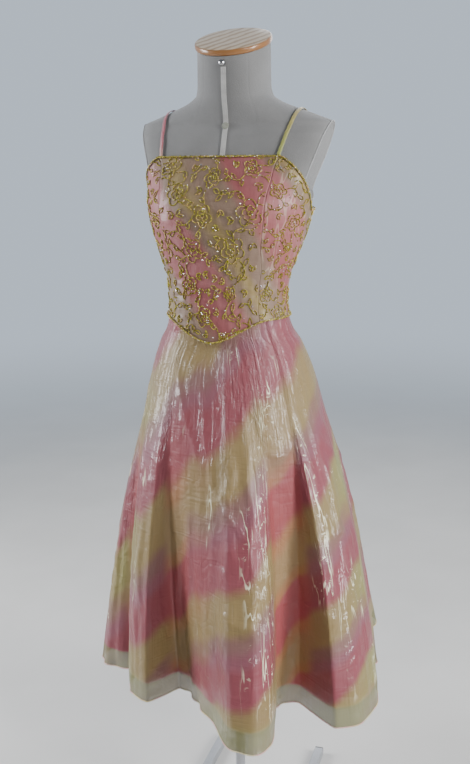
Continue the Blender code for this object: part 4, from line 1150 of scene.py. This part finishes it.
# For each panel: the flowers' radius, how far apart they are, the length of a vine and of a leaf, and the seed.
EMBROIDERY = (
    ("front", 0.0215, 0.062, 0.066, 0.0165, 11),
    ("side_right", 0.0150, 0.046, 0.050, 0.0130, 12),
    ("side_left", 0.0150, 0.046, 0.050, 0.0130, 13),
    ("back_right", 0.0210, 0.062, 0.062, 0.0160, 14),
    ("back_left", 0.0210, 0.062, 0.062, 0.0160, 15),
)
bead_total = 0
for (word, radius, apart, reach, leaf_length, seed), (_, first, last, _) in zip(EMBROIDERY, BODICE_PANELS):
    rng = np.random.default_rng(seed)
    low, high = float(first(np.array(0.5))), float(last(np.array(0.5)))
    low = min(low, float(first(np.array(1.0)))) - BEYOND_SEAM
    high = max(high, float(last(np.array(1.0)))) + BEYOND_SEAM
    base = BODICE_BOTTOM - BODICE_POINT
    flat = embroidered(rng, (high - low) * BODICE_TO_RADIAN, BODICE_TOP - base, radius, apart, reach, leaf_length)
    spots = np.stack((low + flat[:, 0] / BODICE_TO_RADIAN, base + flat[:, 1]), axis=-1)
    loose = rng.uniform((low, base), (high, BODICE_TOP), (int(LOOSE_BEADS * (high - low)), 2))
    azimuth, height = np.concatenate((spots, loose)).T
    share = share_up(azimuth, height)
    inside = (share > 0) & (share < 1)
    azimuth, height, share = azimuth[inside], height[inside], share[inside]
    to_radian = np.linalg.norm(bodice(azimuth + 1e-3, height) - bodice(azimuth - 1e-3, height), axis=-1) / 2e-3
    room = SEAM_ROOM / to_radian
    inside = (azimuth > first(share) + room) & (azimuth < last(share) - room)
    inside &= (height < upper_edge(azimuth) - EDGE_ROOM) & (height > lower_edge(azimuth) + EDGE_ROOM)
    azimuth, height = azimuth[inside], height[inside]
    skin = bodice(azimuth, height)
    _, kept = np.unique(np.round(skin / SQUEEZED).astype(int), axis=0, return_index=True)
    azimuth, height, skin = azimuth[kept], height[kept], skin[kept]
    frames = frames_on(bodice, azimuth, height)
    sizes = BEAD * rng.uniform(0.85, 1.15, len(azimuth))
    lifted = skin + frames[:, 2] * (sizes * 0.75 + strained(azimuth, height))[:, None]
    beads = strewn(f"bodice_{word}_beads", icosahedron(), lifted, frames, sizes, rng.uniform(0, 1, len(azimuth)))
    piece(f"bodice_{word}_beads", beads, bead_finish, "gold_beading")
    bead_total += len(azimuth)
    azimuth, height = rng.uniform((low, base), (high, BODICE_TOP), (int(SEQUINS * (high - low)), 2)).T
    share = share_up(azimuth, height)
    inside = (share > SEQUIN_ROOM) & (share < 1 - SEQUIN_ROOM)
    azimuth, height, share = azimuth[inside], height[inside], share[inside]
    inside = (azimuth > first(share) + SEQUIN_ROOM) & (azimuth < last(share) - SEQUIN_ROOM)
    azimuth, height = azimuth[inside], height[inside]
    frames = frames_on(bodice, azimuth, height)
    tilt = rng.normal(0, 0.22, (len(azimuth), 3))
    frames = frames + np.cross(tilt[:, None], frames)
    places = bodice(azimuth, height) + frames[:, 2] * (SEQUIN + 0.0004)
    sequins = strewn(f"bodice_{word}_sequins", sequin(), places, frames,
                     SEQUIN * rng.uniform(0.8, 1.2, len(azimuth)), rng.uniform(0, 1, len(azimuth)))
    piece(f"bodice_{word}_sequins", sequins, sequin_finish, "gold_beading")
print("beads:", bead_total)

# %% [markdown]
# ## Beaded edges
# The upper and lower edges are finished with a corded trim sewn full of beads. A slim cord is made as a tube and
# two staggered rows of beads are set along it, so the edge looks knobbly from close by and even from far away.

# %% Edgings
EDGE_BEAD, EDGE_PITCH, EDGE_STEPS, EDGE_INSET = 0.00122, 0.0026, 1400, 0.0016


def edging_path(edge, inset):
    """Points and normals along one edge of the bodice, from the back seam round the front to the back seam."""
    azimuth = DRESS_TURN + np.linspace(-math.pi + 0.006, math.pi - 0.006, EDGE_STEPS)
    height = edge(azimuth) + inset
    normal = normal_of(bodice, azimuth, height)
    path = bodice(azimuth, height) + normal * (GAP + 0.0003 + PIPING)
    return path, normal, walk(path)


cord_finish = mottled("gold_cord", 220.0, 2, (0.3, (0.16, 0.12, 0.03)), (0.7, (0.34, 0.27, 0.08)), Roughness=0.4,
                      Metallic=0.3)
rng = np.random.default_rng(21)
for word, edge, inset in (("top", upper_edge, -EDGE_INSET), ("hem", lower_edge, EDGE_INSET)):
    path, normal, walked = edging_path(edge, inset)
    cord = tube_mesh(f"bodice_{word}_cord", path[::3], normal[::3], PIPING * 0.92, PIPING * 0.8, 8)
    piece(f"bodice_{word}_cord", cord, cord_finish, "gold_beading", f"bodice_{word}_edging")
    along = unit(np.gradient(path, axis=0))
    across = np.cross(along, normal)
    rows = []
    for side, start in ((-1, 0.0), (1, 0.5)):
        at = np.arange(start * EDGE_PITCH, walked[-1], EDGE_PITCH)
        pick = np.searchsorted(walked, at).clip(0, len(path) - 1)
        middle = path[pick] + normal[pick] * PIPING * 0.45 + across[pick] * side * 0.0010
        rows.append((middle, np.stack((along[pick], across[pick], normal[pick]), axis=-2)))
    places, frames = (np.concatenate(parts) for parts in zip(*rows))
    places = places + rng.normal(0, 0.00028, places.shape)
    beads = strewn(f"bodice_{word}_edge_beads", icosahedron(), places, frames,
                   EDGE_BEAD * rng.uniform(0.85, 1.12, len(places)), rng.uniform(0, 1, len(places)))
    piece(f"bodice_{word}_edge_beads", beads, bead_finish, "gold_beading")
    print(f"{word} edging", round(walked[-1], 3), "m,", len(places), "beads")

# %% [markdown]
# ## The straps
# Each strap is a narrow tube of the same organza, pressed flat and a little puckered by its own stitching. It
# leaves the corner of the neckline, goes straight over the shoulder and down to the back. The dye runs along it,
# from straw at the bottom to pink on the shoulder.

# %% Straps
STRAP_WIDTH, STRAP_THICKNESS, STRAP_CLEAR = 0.007, 0.002, 0.0012
STRAP_FRONT, STRAP_BACK, STRAP_X_SHOULDER, STRAP_OVER_SHOULDER = math.radians(60), math.radians(136), 0.131, 0.0028


def ring_azimuth(x, height, behind):
    """Where a level ring of the form reaches this x, in front of the arm or behind it."""
    size = {c: eased(height, figure_table["height"], figure_table[c]) for c in FIGURE_COLUMNS[1:]}
    depth = size["back"] if behind else size["front"]
    share = np.clip(np.abs(x) / size["half_width"], 0, 1) ** size["squareness"]
    along = depth * (1 - share) ** (1 / size["squareness"])
    return np.arctan2(x, -along if behind else along)


def strap_path(side):
    """Points and normals of a strap: straight in x against height, (1 - s)^2.2 closer together near the top."""
    levels = np.linspace(1.50, 1.56, 500)
    widths = eased(levels, figure_table["height"], figure_table["half_width"])
    peak = np.interp(-STRAP_X_SHOULDER, -widths, levels)
    azimuths, heights = [], []
    for behind, end in ((False, STRAP_FRONT), (True, STRAP_BACK)):
        end_azimuth = DRESS_TURN + side * end
        foot = float(upper_edge(end_azimuth)) + STRAP_CLEAR
        x_foot = float(figure(np.array(end_azimuth), np.array(foot))[0])
        share = np.linspace(0, 1, 10)
        height = foot + (peak - foot) * (1 - (1 - share) ** 2.2)
        x = x_foot + (side * STRAP_X_SHOULDER - x_foot) * (height - foot) / (peak - foot)
        azimuth = ring_azimuth(x, height, behind)
        keep = slice(None) if not behind else slice(-2, None, -1)
        azimuths.append(azimuth[keep])
        heights.append(height[keep])
    azimuth, height = np.concatenate(azimuths), np.concatenate(heights)
    seated = BODICE_HIGH + BODICE_WALL / 2
    off = seated + (STRAP_OVER_SHOULDER - seated) * smooth_step((height - 1.47) / 0.04)
    facing = normal_of(figure, azimuth, height)
    path = figure(azimuth, height) + facing * off[:, None]
    walked = walk(path)
    fine = np.linspace(0, walked[-1], 240)
    path = np.stack([eased(fine, walked, path[:, k]) for k in range(3)], axis=-1)
    facing = np.stack([eased(fine, walked, facing[:, k]) for k in range(3)], axis=-1)
    return path, unit(facing), fine


strap_finish, strap_tree, strap_shader = finish("strap_organza", Roughness=0.38, Sheen_Weight=0.35)
strap_dye = ramp(strap_tree, attribute(strap_tree, "dye"), (0.0, (0.24, 0.26, 0.06)), (0.35, (0.30, 0.26, 0.08)),
                 (0.62, (0.34, 0.15, 0.11)), (1.0, (0.32, 0.075, 0.10)))
strap_tree.links.new(strap_dye, strap_shader.inputs["Base Color"])
strap_weave = scaled(strap_tree, node(strap_tree, "UVMap").outputs[0], (6, 260, 1))
bumped(strap_tree, strap_shader, noise(strap_tree, strap_weave, 1.0, 3, 0.6), 0.0012)
for side, word in ((-1, "right"), (1, "left")):
    path, facing, walked = strap_path(side)
    pucker = 1 + 0.06 * np.sin(walked * 2 * math.pi / 0.011) + 0.04 * np.sin(walked * 2 * math.pi / 0.0047 + side)
    dye = smooth_step((path[:, 2] - BODICE_TOP + (0.0 if side > 0 else 0.05)) / 0.09) * (0.42 if side > 0 else 1.0)
    mesh = tube_mesh(f"strap_{word}_cloth", path, facing, STRAP_WIDTH / 2 * pucker, STRAP_THICKNESS / 2, 16, dye=dye)
    made = piece(f"strap_{word}_cloth", mesh, strap_finish, "strap_organza", f"strap_{word}")
    print(made.name, round(walked[-1], 3), "m")

# %% [markdown]
# ## The concealed zip
# The dress closes at the centre back with a zip that is hidden in the seam. All that shows is the two folded lips
# of cloth that meet over it, from the upper edge to below the waist, and the little pull at the top.

# %% Lips and pull of the zip
ZIP_END, LIP_WIDTH, LIP_DEPTH, LIP_APART, ZIP_PULL = 1.035, 0.0013, 0.0006, 0.0001, 0.013
back_seam = DRESS_TURN + math.pi
zip_top, waistline = float(upper_edge(np.array(back_seam))) - 0.005, float(lower_edge(np.array(back_seam)))
for word, side in (("right", 1), ("left", -1)):
    for part, surface, top, bottom, cloth_finish in (
        ("bodice", bodice, zip_top, waistline + 0.0045, bodice_finish),
        ("skirt", skirt, waistline - 0.0035, ZIP_END, skirt_organza),
    ):
        height = np.linspace(top, bottom, 90)
        seam = surface(back_seam + 0 * height, height)
        azimuth = back_seam + side * (LIP_WIDTH + LIP_APART) / np.hypot(seam[:, 0], seam[:, 1])
        path, facing = surface(azimuth, height), normal_of(surface, azimuth, height)
        points = path + facing * LIP_DEPTH * 0.4
        phase = bodice_phase(azimuth, height) if part == "bodice" else band_phase(azimuth, height, path)
        lip = tube_mesh(f"zip_lip_{part}_{word}", points, facing, LIP_WIDTH, LIP_DEPTH, 8, phase=phase,
                        cover=np.ones(len(path)))
        piece(f"zip_lip_{part}_{word}", lip, cloth_finish, "beaded_organza" if part == "bodice" else "organza")
height = np.linspace(zip_top - 0.002, zip_top - 0.002 - ZIP_PULL, 40)
path, facing = bodice(back_seam + 0 * height, height), normal_of(bodice, back_seam + 0 * height, height)
half_width = 0.0009 + 0.0020 * np.sin(math.pi * np.linspace(0, 1, 40) ** 1.6)
pull = tube_mesh("zip_pull", path + facing * 0.0021, facing, half_width, 0.0007, 16)
piece("zip_pull", pull, cord_finish, "gold_beading")
print("zip", round(zip_top - ZIP_END, 3), "m long")

# %% [markdown]
# ## The dress form
# The form is a hard body with a stretched grey jersey cover, sewn from panels. It has a flat cut at each arm with
# a piped edge, and its neck is cut at a slant and topped with a turned wooden cap.

# %% Form cover
COVER_COLUMNS, SEAM_WIDTH, SEAM_DEPTH, SHARP = 288, 0.0011, 0.0006, math.radians(35)


def arm_limit(height):
    """How far out the skin may reach: the arm's flat cut, which leans in, and the ledge below it."""
    cut = ARM_REACH - ARM_LEAN * (ARM_TOP - height)
    foot = ARM_REACH - ARM_LEAN * (ARM_TOP - ARM_BOTTOM)
    ledge = foot + (ARM_BOTTOM - height) * ARM_LEDGE
    return np.where(height < ARM_BOTTOM, ledge, np.where(height < ARM_TOP + 0.02, cut, 1.0))


def form_skin(azimuth, height):
    """The figure with its arm cuts, and grooves along the cover's seams."""
    points = figure(azimuth, height)
    turn = (azimuth + math.pi) % (2 * math.pi) - math.pi
    reach = np.hypot(points[..., 0], points[..., 1])
    groove = 0.0
    for seam in np.radians((90, -90, 180, -180)):
        groove = groove + np.exp(-(((turn - seam) * reach / SEAM_WIDTH) ** 2))
    for side in (-1, 1):
        line = side * (math.radians(33) + math.radians(5) * smooth_step((height - 1.36) / 0.12))
        groove = groove + 0.7 * np.exp(-(((turn - line) * reach / SEAM_WIDTH) ** 2))
    points = points - normal_of(figure, azimuth, height) * (SEAM_DEPTH * np.minimum(groove, 1.0))[..., None]
    limit = arm_limit(height)
    points[..., 0] = np.clip(points[..., 0], -limit, limit)
    return points


cover_heights = np.concatenate((
    np.linspace(NECK_TOP, 1.50, 56), np.linspace(1.497, ARM_BOTTOM, 46), np.linspace(1.382, FORM_BOTTOM + 0.006, 110),
    [FORM_BOTTOM + 0.003, FORM_BOTTOM + 0.001, FORM_BOTTOM],
))
turns = np.linspace(-math.pi, math.pi, COVER_COLUMNS, endpoint=False)
azimuth, height = np.meshgrid(turns, cover_heights)
skin = form_skin(azimuth, height)
skin[-4:, :, :2] *= np.array([1.0, 0.995, 0.985, 0.975])[:, None, None]
cover_mesh = grid_mesh("form_torso_cover", skin, round_columns=True)
closed_ends(cover_mesh, len(cover_heights), COVER_COLUMNS)
cover_mesh.set_sharp_from_angle(angle=SHARP)
jersey, jersey_tree, jersey_shader = finish("grey_jersey", Roughness=0.85, Sheen_Weight=0.25, Sheen_Roughness=0.5)
wear = noise(jersey_tree, own(jersey_tree), 7.0, 4, 0.55)
knit = noise(jersey_tree, scaled(jersey_tree, own(jersey_tree), (1, 1, 0.5)), 950.0, 2, 0.6)
jersey_colour = ramp(jersey_tree, sum_of(jersey_tree, wear, knit, 0.35), (0.40, (0.142, 0.142, 0.141)),
                     (0.95, (0.196, 0.196, 0.196)))
jersey_tree.links.new(jersey_colour, jersey_shader.inputs["Base Color"])
bumped(jersey_tree, jersey_shader, knit, 0.0007)
piece("form_torso_cover", cover_mesh, jersey, "grey_cloth", "form_torso")
print("cover:", len(cover_heights), "rows of", COVER_COLUMNS)

# %% Piping round the arm cuts
ARM_PIPING = 0.0014
piping_finish = mottled("cover_piping", 300.0, 2, (0.3, (0.27, 0.27, 0.275)), (0.7, (0.36, 0.36, 0.365)),
                        bump=(1200.0, 1, 0.0004), Roughness=0.7)
levels = np.linspace(1.34, 1.54, 4001)
beyond = eased(levels, figure_table["height"], figure_table["half_width"]) - arm_limit(levels)
cut_levels = levels[beyond > 0]
span = cut_levels.max() - cut_levels.min()
share = 0.5 - 0.5 * np.cos(np.linspace(0, math.pi, 90))
for side, word in ((-1, "right"), (1, "left")):
    branch = cut_levels.min() + span * share
    height = np.concatenate((branch, branch[-2:0:-1]))
    behind = np.concatenate((np.zeros(len(branch), bool), np.ones(len(branch) - 2, bool)))
    x = side * np.minimum(arm_limit(height), eased(height, figure_table["height"], figure_table["half_width"]) - 1e-6)
    azimuth = np.where(behind, ring_azimuth(x, height, True), ring_azimuth(x, height, False))
    loop = figure(azimuth, height)
    loop[:, 0] = np.where(side * loop[:, 0] > arm_limit(height), side * arm_limit(height), loop[:, 0])
    normal = normal_of(figure, azimuth, height)
    once_more = (np.concatenate((loop, loop[:1])), np.concatenate((normal, normal[:1])))
    rings = tube_points(*once_more, ARM_PIPING, ARM_PIPING, 8)[:-1]
    mesh = grid_mesh(f"form_arm_piping_{word}", rings, round_columns=True, round_rows=True)
    faces_outwards(mesh)
    piece(f"form_arm_piping_{word}", mesh, piping_finish, "grey_cloth")
    print("arm cut", word, "round", round(walk(loop)[-1], 3), "m")

# %% [markdown]
# ## Turned parts
# Cap, knob, button and pole are round, and a lathe makes such a part by following one profile as it turns. Here too
# a profile of radius and height is carried round an axis. The parts on the neck and chest are put in place along
# the skin's own slant, so that they touch it all over.

# %% Turned parts
def turned_mesh(name, profile, steps, place):
    """Points (r cos t, r sin t, h) for each (radius, height) of the profile, put in place."""
    radius, height = np.array(profile, float).T
    turn = np.linspace(0, 2 * math.pi, steps, endpoint=False)
    points = np.stack((radius[:, None] * np.cos(turn), radius[:, None] * np.sin(turn),
                       np.broadcast_to(height[:, None], (len(radius), steps))), axis=-1)
    matrix = np.array(place)
    points = points @ matrix[:3, :3].T + matrix[:3, 3]
    mesh = grid_mesh(name, points, round_columns=True)
    closed_ends(mesh, len(radius), steps)
    mesh.set_sharp_from_angle(angle=SHARP)
    return mesh


def rounded_profile(radius, low, high, edge, parts=5):
    """The side of a disc from its top middle to its bottom middle, with a quarter round at both edges."""
    turn = np.linspace(0, math.pi / 2, parts)
    top = [(radius - edge + edge * math.sin(a), high - edge + edge * math.cos(a)) for a in turn]
    bottom = [(radius - edge + edge * math.cos(a), low + edge - edge * math.sin(a)) for a in turn]
    return [(radius * 0.02, high), (radius * 0.5, high)] + top + bottom + [(radius * 0.5, low), (radius * 0.02, low)]


def neck_place(height):
    """Place of something that lies on the neck's slanting top, this far above its centre."""
    centre = (figure(np.array(0.0), np.array(NECK_TOP)) + figure(np.array(math.pi), np.array(NECK_TOP))) / 2
    turn = Matrix.Rotation(NECK_SLANT, 4, "X")
    return Matrix.Translation(Vector(centre) + turn @ Vector((0, 0, height))) @ turn


def front_place(height, out):
    """Place of something round on the form's front line, its axis along the skin's normal."""
    zero, level = np.array(0.0), np.array(height)
    skin_point = Vector(figure(zero, level))
    normal = Vector(moved_out(figure, zero, level, np.array(1.0))) - skin_point
    return Matrix.Translation(skin_point + normal * out) @ normal.to_track_quat("Z", "Y").to_matrix().to_4x4()

# %% [markdown]
# ## Cap, knob and button
# The pine board is cut along its growth rings, so the cap's top shows broad bands with fine streaks, and the varnish
# is darker on the rounded edge, where the end grain drinks more of it. The knob is polished metal, and the button is
# covered in cloth.

# %% Cap
CAP_RADIUS, CAP_THICKNESS, CAP_ROUND, CAP_STEPS = 0.0745, 0.0115, 0.0035, 128
EDGE_STAIN = (0.24, 0.105, 0.03, 1)
pine, pine_tree, pine_shader = finish("varnished_pine", Roughness=0.32, Coat_Weight=0.35, Coat_Roughness=0.15)
along_grain = scaled(pine_tree, own(pine_tree), (1, 1, 1), turn=(0, 0, math.radians(38)))
growth = {"Vector": along_grain, "Scale": 16.0, "Distortion": 2.2, "Detail": 3.0, "Detail Scale": 2.5}
growth = node(pine_tree, "TexWave", growth, wave_type="BANDS", bands_direction="X").outputs["Fac"]
streaks = noise(pine_tree, scaled(pine_tree, along_grain, (240, 14, 60)), 1.0, 3)
grain = sum_of(pine_tree, growth, streaks, 0.5)
pine_colour = ramp(pine_tree, grain, (0.25, (0.30, 0.17, 0.065)), (0.75, (0.47, 0.34, 0.19)),
                   (1.2, (0.54, 0.42, 0.27)))
stained = blend(pine_tree, attribute(pine_tree, "edge"), pine_colour, EDGE_STAIN)
pine_tree.links.new(stained, pine_shader.inputs["Base Color"])
bumped(pine_tree, pine_shader, grain, 0.0003, 0.6)
cap_profile = rounded_profile(CAP_RADIUS, 0.0, CAP_THICKNESS, CAP_ROUND)
cap = turned_mesh("form_neck_cap_pine", cap_profile, CAP_STEPS, neck_place(GAP))
held = cap.attributes.new("edge", "FLOAT", "POINT")
edge_values = np.clip((np.array(cap_profile)[:, 0] - (CAP_RADIUS - CAP_ROUND)) / (CAP_ROUND * 0.6), 0, 1)
held.data.foreach_set("value", np.repeat(edge_values, CAP_STEPS).astype(np.float32))
piece("form_neck_cap_pine", cap, pine, "pine", "form_neck_cap")
print("cap", 2 * CAP_RADIUS, "m across")

# %% Knob and button
KNOB_HEIGHT, KNOB_RADIUS, STEM_RADIUS = 1.643, 0.0068, 0.0035
chrome = mottled("dark_chrome", 400.0, 3, (0.3, (0.34, 0.34, 0.35)), (0.7, (0.50, 0.50, 0.51)), Roughness=0.10,
                 Metallic=1.0)
ball_middle = STEM_RADIUS + KNOB_RADIUS * 0.8
ball = [(max(KNOB_RADIUS * math.cos(a), 1e-4), ball_middle + KNOB_RADIUS * math.sin(a))
        for a in np.linspace(math.radians(90), math.radians(-52), 24)]
knob_profile = ball + [(0.0042, 0.0012), (0.0046, 0.0004), (0.0044, 0.0), (1e-4, 0.0)]
piece("form_neck_knob_ball", turned_mesh("form_neck_knob_ball", knob_profile, 48, front_place(KNOB_HEIGHT, GAP)),
      chrome, "chrome", "form_neck_knob")

BUTTON_HEIGHT, BUTTON_RADIUS, BUTTON_THICKNESS, TAPE_THICKNESS = 1.506, 0.0068, 0.0022, 0.0007
button = mottled("button_cloth", 600.0, 2, (0.3, (0.17, 0.18, 0.145)), (0.7, (0.25, 0.26, 0.215)),
                 bump=(1400.0, 1, 0.0004), Roughness=0.65, Sheen_Weight=0.2)
dome = [(BUTTON_RADIUS * math.sin(a) if a else 1e-4, BUTTON_THICKNESS * (0.45 + 0.55 * math.cos(a)))
        for a in np.linspace(0, math.pi / 2, 10)]
button_profile = dome + [(BUTTON_RADIUS, 0.0004), (BUTTON_RADIUS * 0.96, 0.0), (1e-4, 0.0)]
button_place = front_place(BUTTON_HEIGHT, TAPE_THICKNESS + 2 * GAP + 0.0014)
piece("form_chest_button_cloth", turned_mesh("form_chest_button_cloth", button_profile, 48, button_place), button,
      "button_grey", "form_chest_button")
print("knob at", KNOB_HEIGHT, "m and button at", BUTTON_HEIGHT, "m")

# %% The front tape
TAPE_WIDTH, TAPE_TOP, TAPE_END = 0.0095, 1.632, 1.410
tape_heights = np.linspace(TAPE_TOP, TAPE_END, 150)
tape_across = np.linspace(-TAPE_WIDTH / 2, TAPE_WIDTH / 2, 9)
levels, spread = np.meshgrid(tape_heights, tape_across, indexing="ij")
depth = eased(tape_heights, figure_table["height"], figure_table["front"])
turns = np.arcsin(np.clip(spread / depth[:, None], -1, 1))
ridge = 0.0002 * np.cos(spread / TAPE_WIDTH * 2 * math.pi * 2)
tape_points = moved_out(figure, turns, levels, GAP + 0.0002 + TAPE_THICKNESS + ridge)
tape_mesh = grid_mesh("form_front_tape_cloth", tape_points, np.stack((spread, levels), axis=-1))
tape, tape_tree, tape_shader = finish("cotton_tape", Roughness=0.75, Sheen_Weight=0.2)
tape_uv = node(tape_tree, "UVMap").outputs[0]
twill = node(tape_tree, "TexWave", {"Vector": tape_uv, "Scale": 230.0, "Distortion": 0.6}, wave_type="BANDS",
             bands_direction="DIAGONAL").outputs["Fac"]
tape_tone = sum_of(tape_tree, noise(tape_tree, tape_uv, 45.0, 3), twill, 0.25)
tape_tree.links.new(ramp(tape_tree, tape_tone, (0.3, (0.30, 0.295, 0.29)), (0.9, (0.42, 0.415, 0.405))),
                    tape_shader.inputs["Base Color"])
bumped(tape_tree, tape_shader, twill, 0.0002)
tape_piece = piece("form_front_tape_cloth", tape_mesh, tape, "white_tape", "form_front_tape")
thick = tape_piece.modifiers.new("cloth thickness", "SOLIDIFY")
thick.thickness, thick.offset = TAPE_THICKNESS, -1
print("tape", round(walk(tape_points[:, 4])[-1], 3), "m")

# %% [markdown]
# ## The stand
# The stand's own solids have the right shapes, so they stay and only get their finishes. The pole shows its
# facets up close, so a rounder tube of the same size replaces it.

# %% Stand finishes
steel, steel_tree, steel_shader = finish("painted_steel", Roughness=0.38, Metallic=0.15)
steel_where = own(steel_tree)
steel_tone = sum_of(steel_tree, noise(steel_tree, steel_where, 18.0, 4), noise(steel_tree, steel_where, 420.0, 2),
                    0.3)
steel_tree.links.new(ramp(steel_tree, steel_tone, (0.35, (0.30, 0.31, 0.325)), (0.95, (0.44, 0.45, 0.47))),
                     steel_shader.inputs["Base Color"])
bumped(steel_tree, steel_shader, noise(steel_tree, steel_where, 600.0, 2), 0.0002, 0.5)
plastic = mottled("black_plastic", 90.0, 3, (0.3, (0.012, 0.012, 0.013)), (0.8, (0.03, 0.03, 0.032)),
                  bump=(1500.0, 1, 0.0002), Roughness=0.5)
for obj in [obj for obj in bpy.data.objects if "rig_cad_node" in obj]:
    if obj.name.startswith("stand_plug"):
        obj.material_slots[0].material = plastic
    elif obj.name.startswith("stand_") or obj.name == "form_pole_socket":
        obj.material_slots[0].material = steel
POLE_RADIUS, BAR, POLE_CLEAR = 0.0105, 0.020, 0.002
pole_foot, pole_head = BAR + GAP, FORM_BOTTOM - GAP - POLE_CLEAR
print("pole from", pole_foot, "to", pole_head, "m")
pole_profile = rounded_profile(POLE_RADIUS, pole_foot, pole_head, 0.0006, 3)
piece("stand_pole_tube", turned_mesh("stand_pole_tube", pole_profile, 64, Matrix.Identity(4)), steel, "painted_steel",
      "stand_pole")

# %% [markdown]
# ## The floor and the light
# A plain pale floor that fades into the room's own colour a few metres away, so that no horizon shows. Of the five
# soft lights, three stand in for windows at both sides, and a weak one in front and one behind fill the shadows.
# Large lights give soft shadows and long, soft streaks on the organza.

# %% The floor
ROOM_BEFORE, ROOM_BEHIND = (0.20, 0.21, 0.22, 1), (0.58, 0.67, 0.78, 1)


def room_colour(tree, direction):
    """The room's colour in a direction: dimmer before the dress (-Y), and the pale blue of a wall behind it (+Y)."""
    unit = node(tree, "VectorMath", {0: direction}, operation="NORMALIZE").outputs["Vector"]
    towards = node(tree, "SeparateXYZ", {0: unit}).outputs["Y"]
    return blend(tree, between(tree, towards, -0.35, 0.65), ROOM_BEFORE, ROOM_BEHIND)


floor_mesh = bpy.data.meshes.new("floor")
FLOOR_REACH, FADE_START, FADE_END = 150.0, 1.2, 7.0
floor_mesh.from_pydata([(x * FLOOR_REACH, y * FLOOR_REACH, 0) for x, y in ((-1, -1), (1, -1), (1, 1), (-1, 1))], [],
                       [(0, 1, 2, 3)])
floor = bpy.data.objects.new("floor", floor_mesh)
bpy.context.scene.collection.objects.link(floor)
floor_finish, floor_tree, floor_shader = finish("pale_floor", Roughness=0.6, Specular_IOR_Level=0.0)
floor_where = own(floor_tree)
near_floor = ramp(floor_tree, noise(floor_tree, floor_where, 3.0, 3), (0.2, (0.62, 0.61, 0.59)),
                  (0.8, (0.67, 0.66, 0.64)))
floor_reach = node(floor_tree, "VectorMath", {0: floor_where}, operation="LENGTH").outputs["Value"]
far = between(floor_tree, floor_reach, FADE_START, FADE_END, "SMOOTHERSTEP")
black = (0, 0, 0, 1)
floor_tree.links.new(blend(floor_tree, far, near_floor, black), floor_shader.inputs["Base Color"])
floor_glow = blend(floor_tree, far, black, room_colour(floor_tree, floor_where))
floor_tree.links.new(floor_glow, floor_shader.inputs["Emission Color"])
floor_shader.inputs["Emission Strength"].default_value = 1.0
floor_mesh.materials.append(floor_finish)
print("floor fades from", FADE_START, "to", FADE_END, "m")

# %% Lights
MIDDLE = (0, 0, 0.95)


def soft_light(name, place, wide, tall, power, colour):
    """A rectangular area light at a place, turned to face the middle of the dress."""
    lamp = bpy.data.lights.new(name, "AREA")
    lamp.shape = "RECTANGLE"
    lamp.size, lamp.size_y, lamp.energy, lamp.color = wide, tall, power, colour
    made = bpy.data.objects.new(name, lamp)
    facing = (Vector(MIDDLE) - Vector(place)).to_track_quat("-Z", "Y").to_matrix().to_4x4()
    made.matrix_world = Matrix.Translation(place) @ facing
    bpy.context.scene.collection.objects.link(made)


WARM, WHITE, COOL = (1.0, 0.99, 0.98), (1.0, 1.0, 1.0), (0.97, 0.98, 1.0)
soft_light("window_right", (2.35, -0.65, 1.75), 0.45, 1.7, 88, WARM)
soft_light("window_right_front", (1.75, -1.75, 1.9), 0.18, 1.5, 22, WARM)
soft_light("window_left", (-2.35, -0.45, 1.7), 0.8, 1.7, 100, COOL)
soft_light("from_front", (-0.4, -3.2, 2.3), 1.8, 1.8, 3, WHITE)
soft_light("from_behind", (0.3, 2.6, 2.4), 1.8, 1.8, 26, COOL)
world = bpy.context.scene.world or bpy.data.worlds.new("room")
bpy.context.scene.world = world
world.use_nodes = True
sky = world.node_tree.nodes["Background"]
room_direction = node(world.node_tree, "TexCoord").outputs["Generated"]
world.node_tree.links.new(room_colour(world.node_tree, room_direction), sky.inputs["Color"])
sky.inputs["Strength"].default_value = 1.0
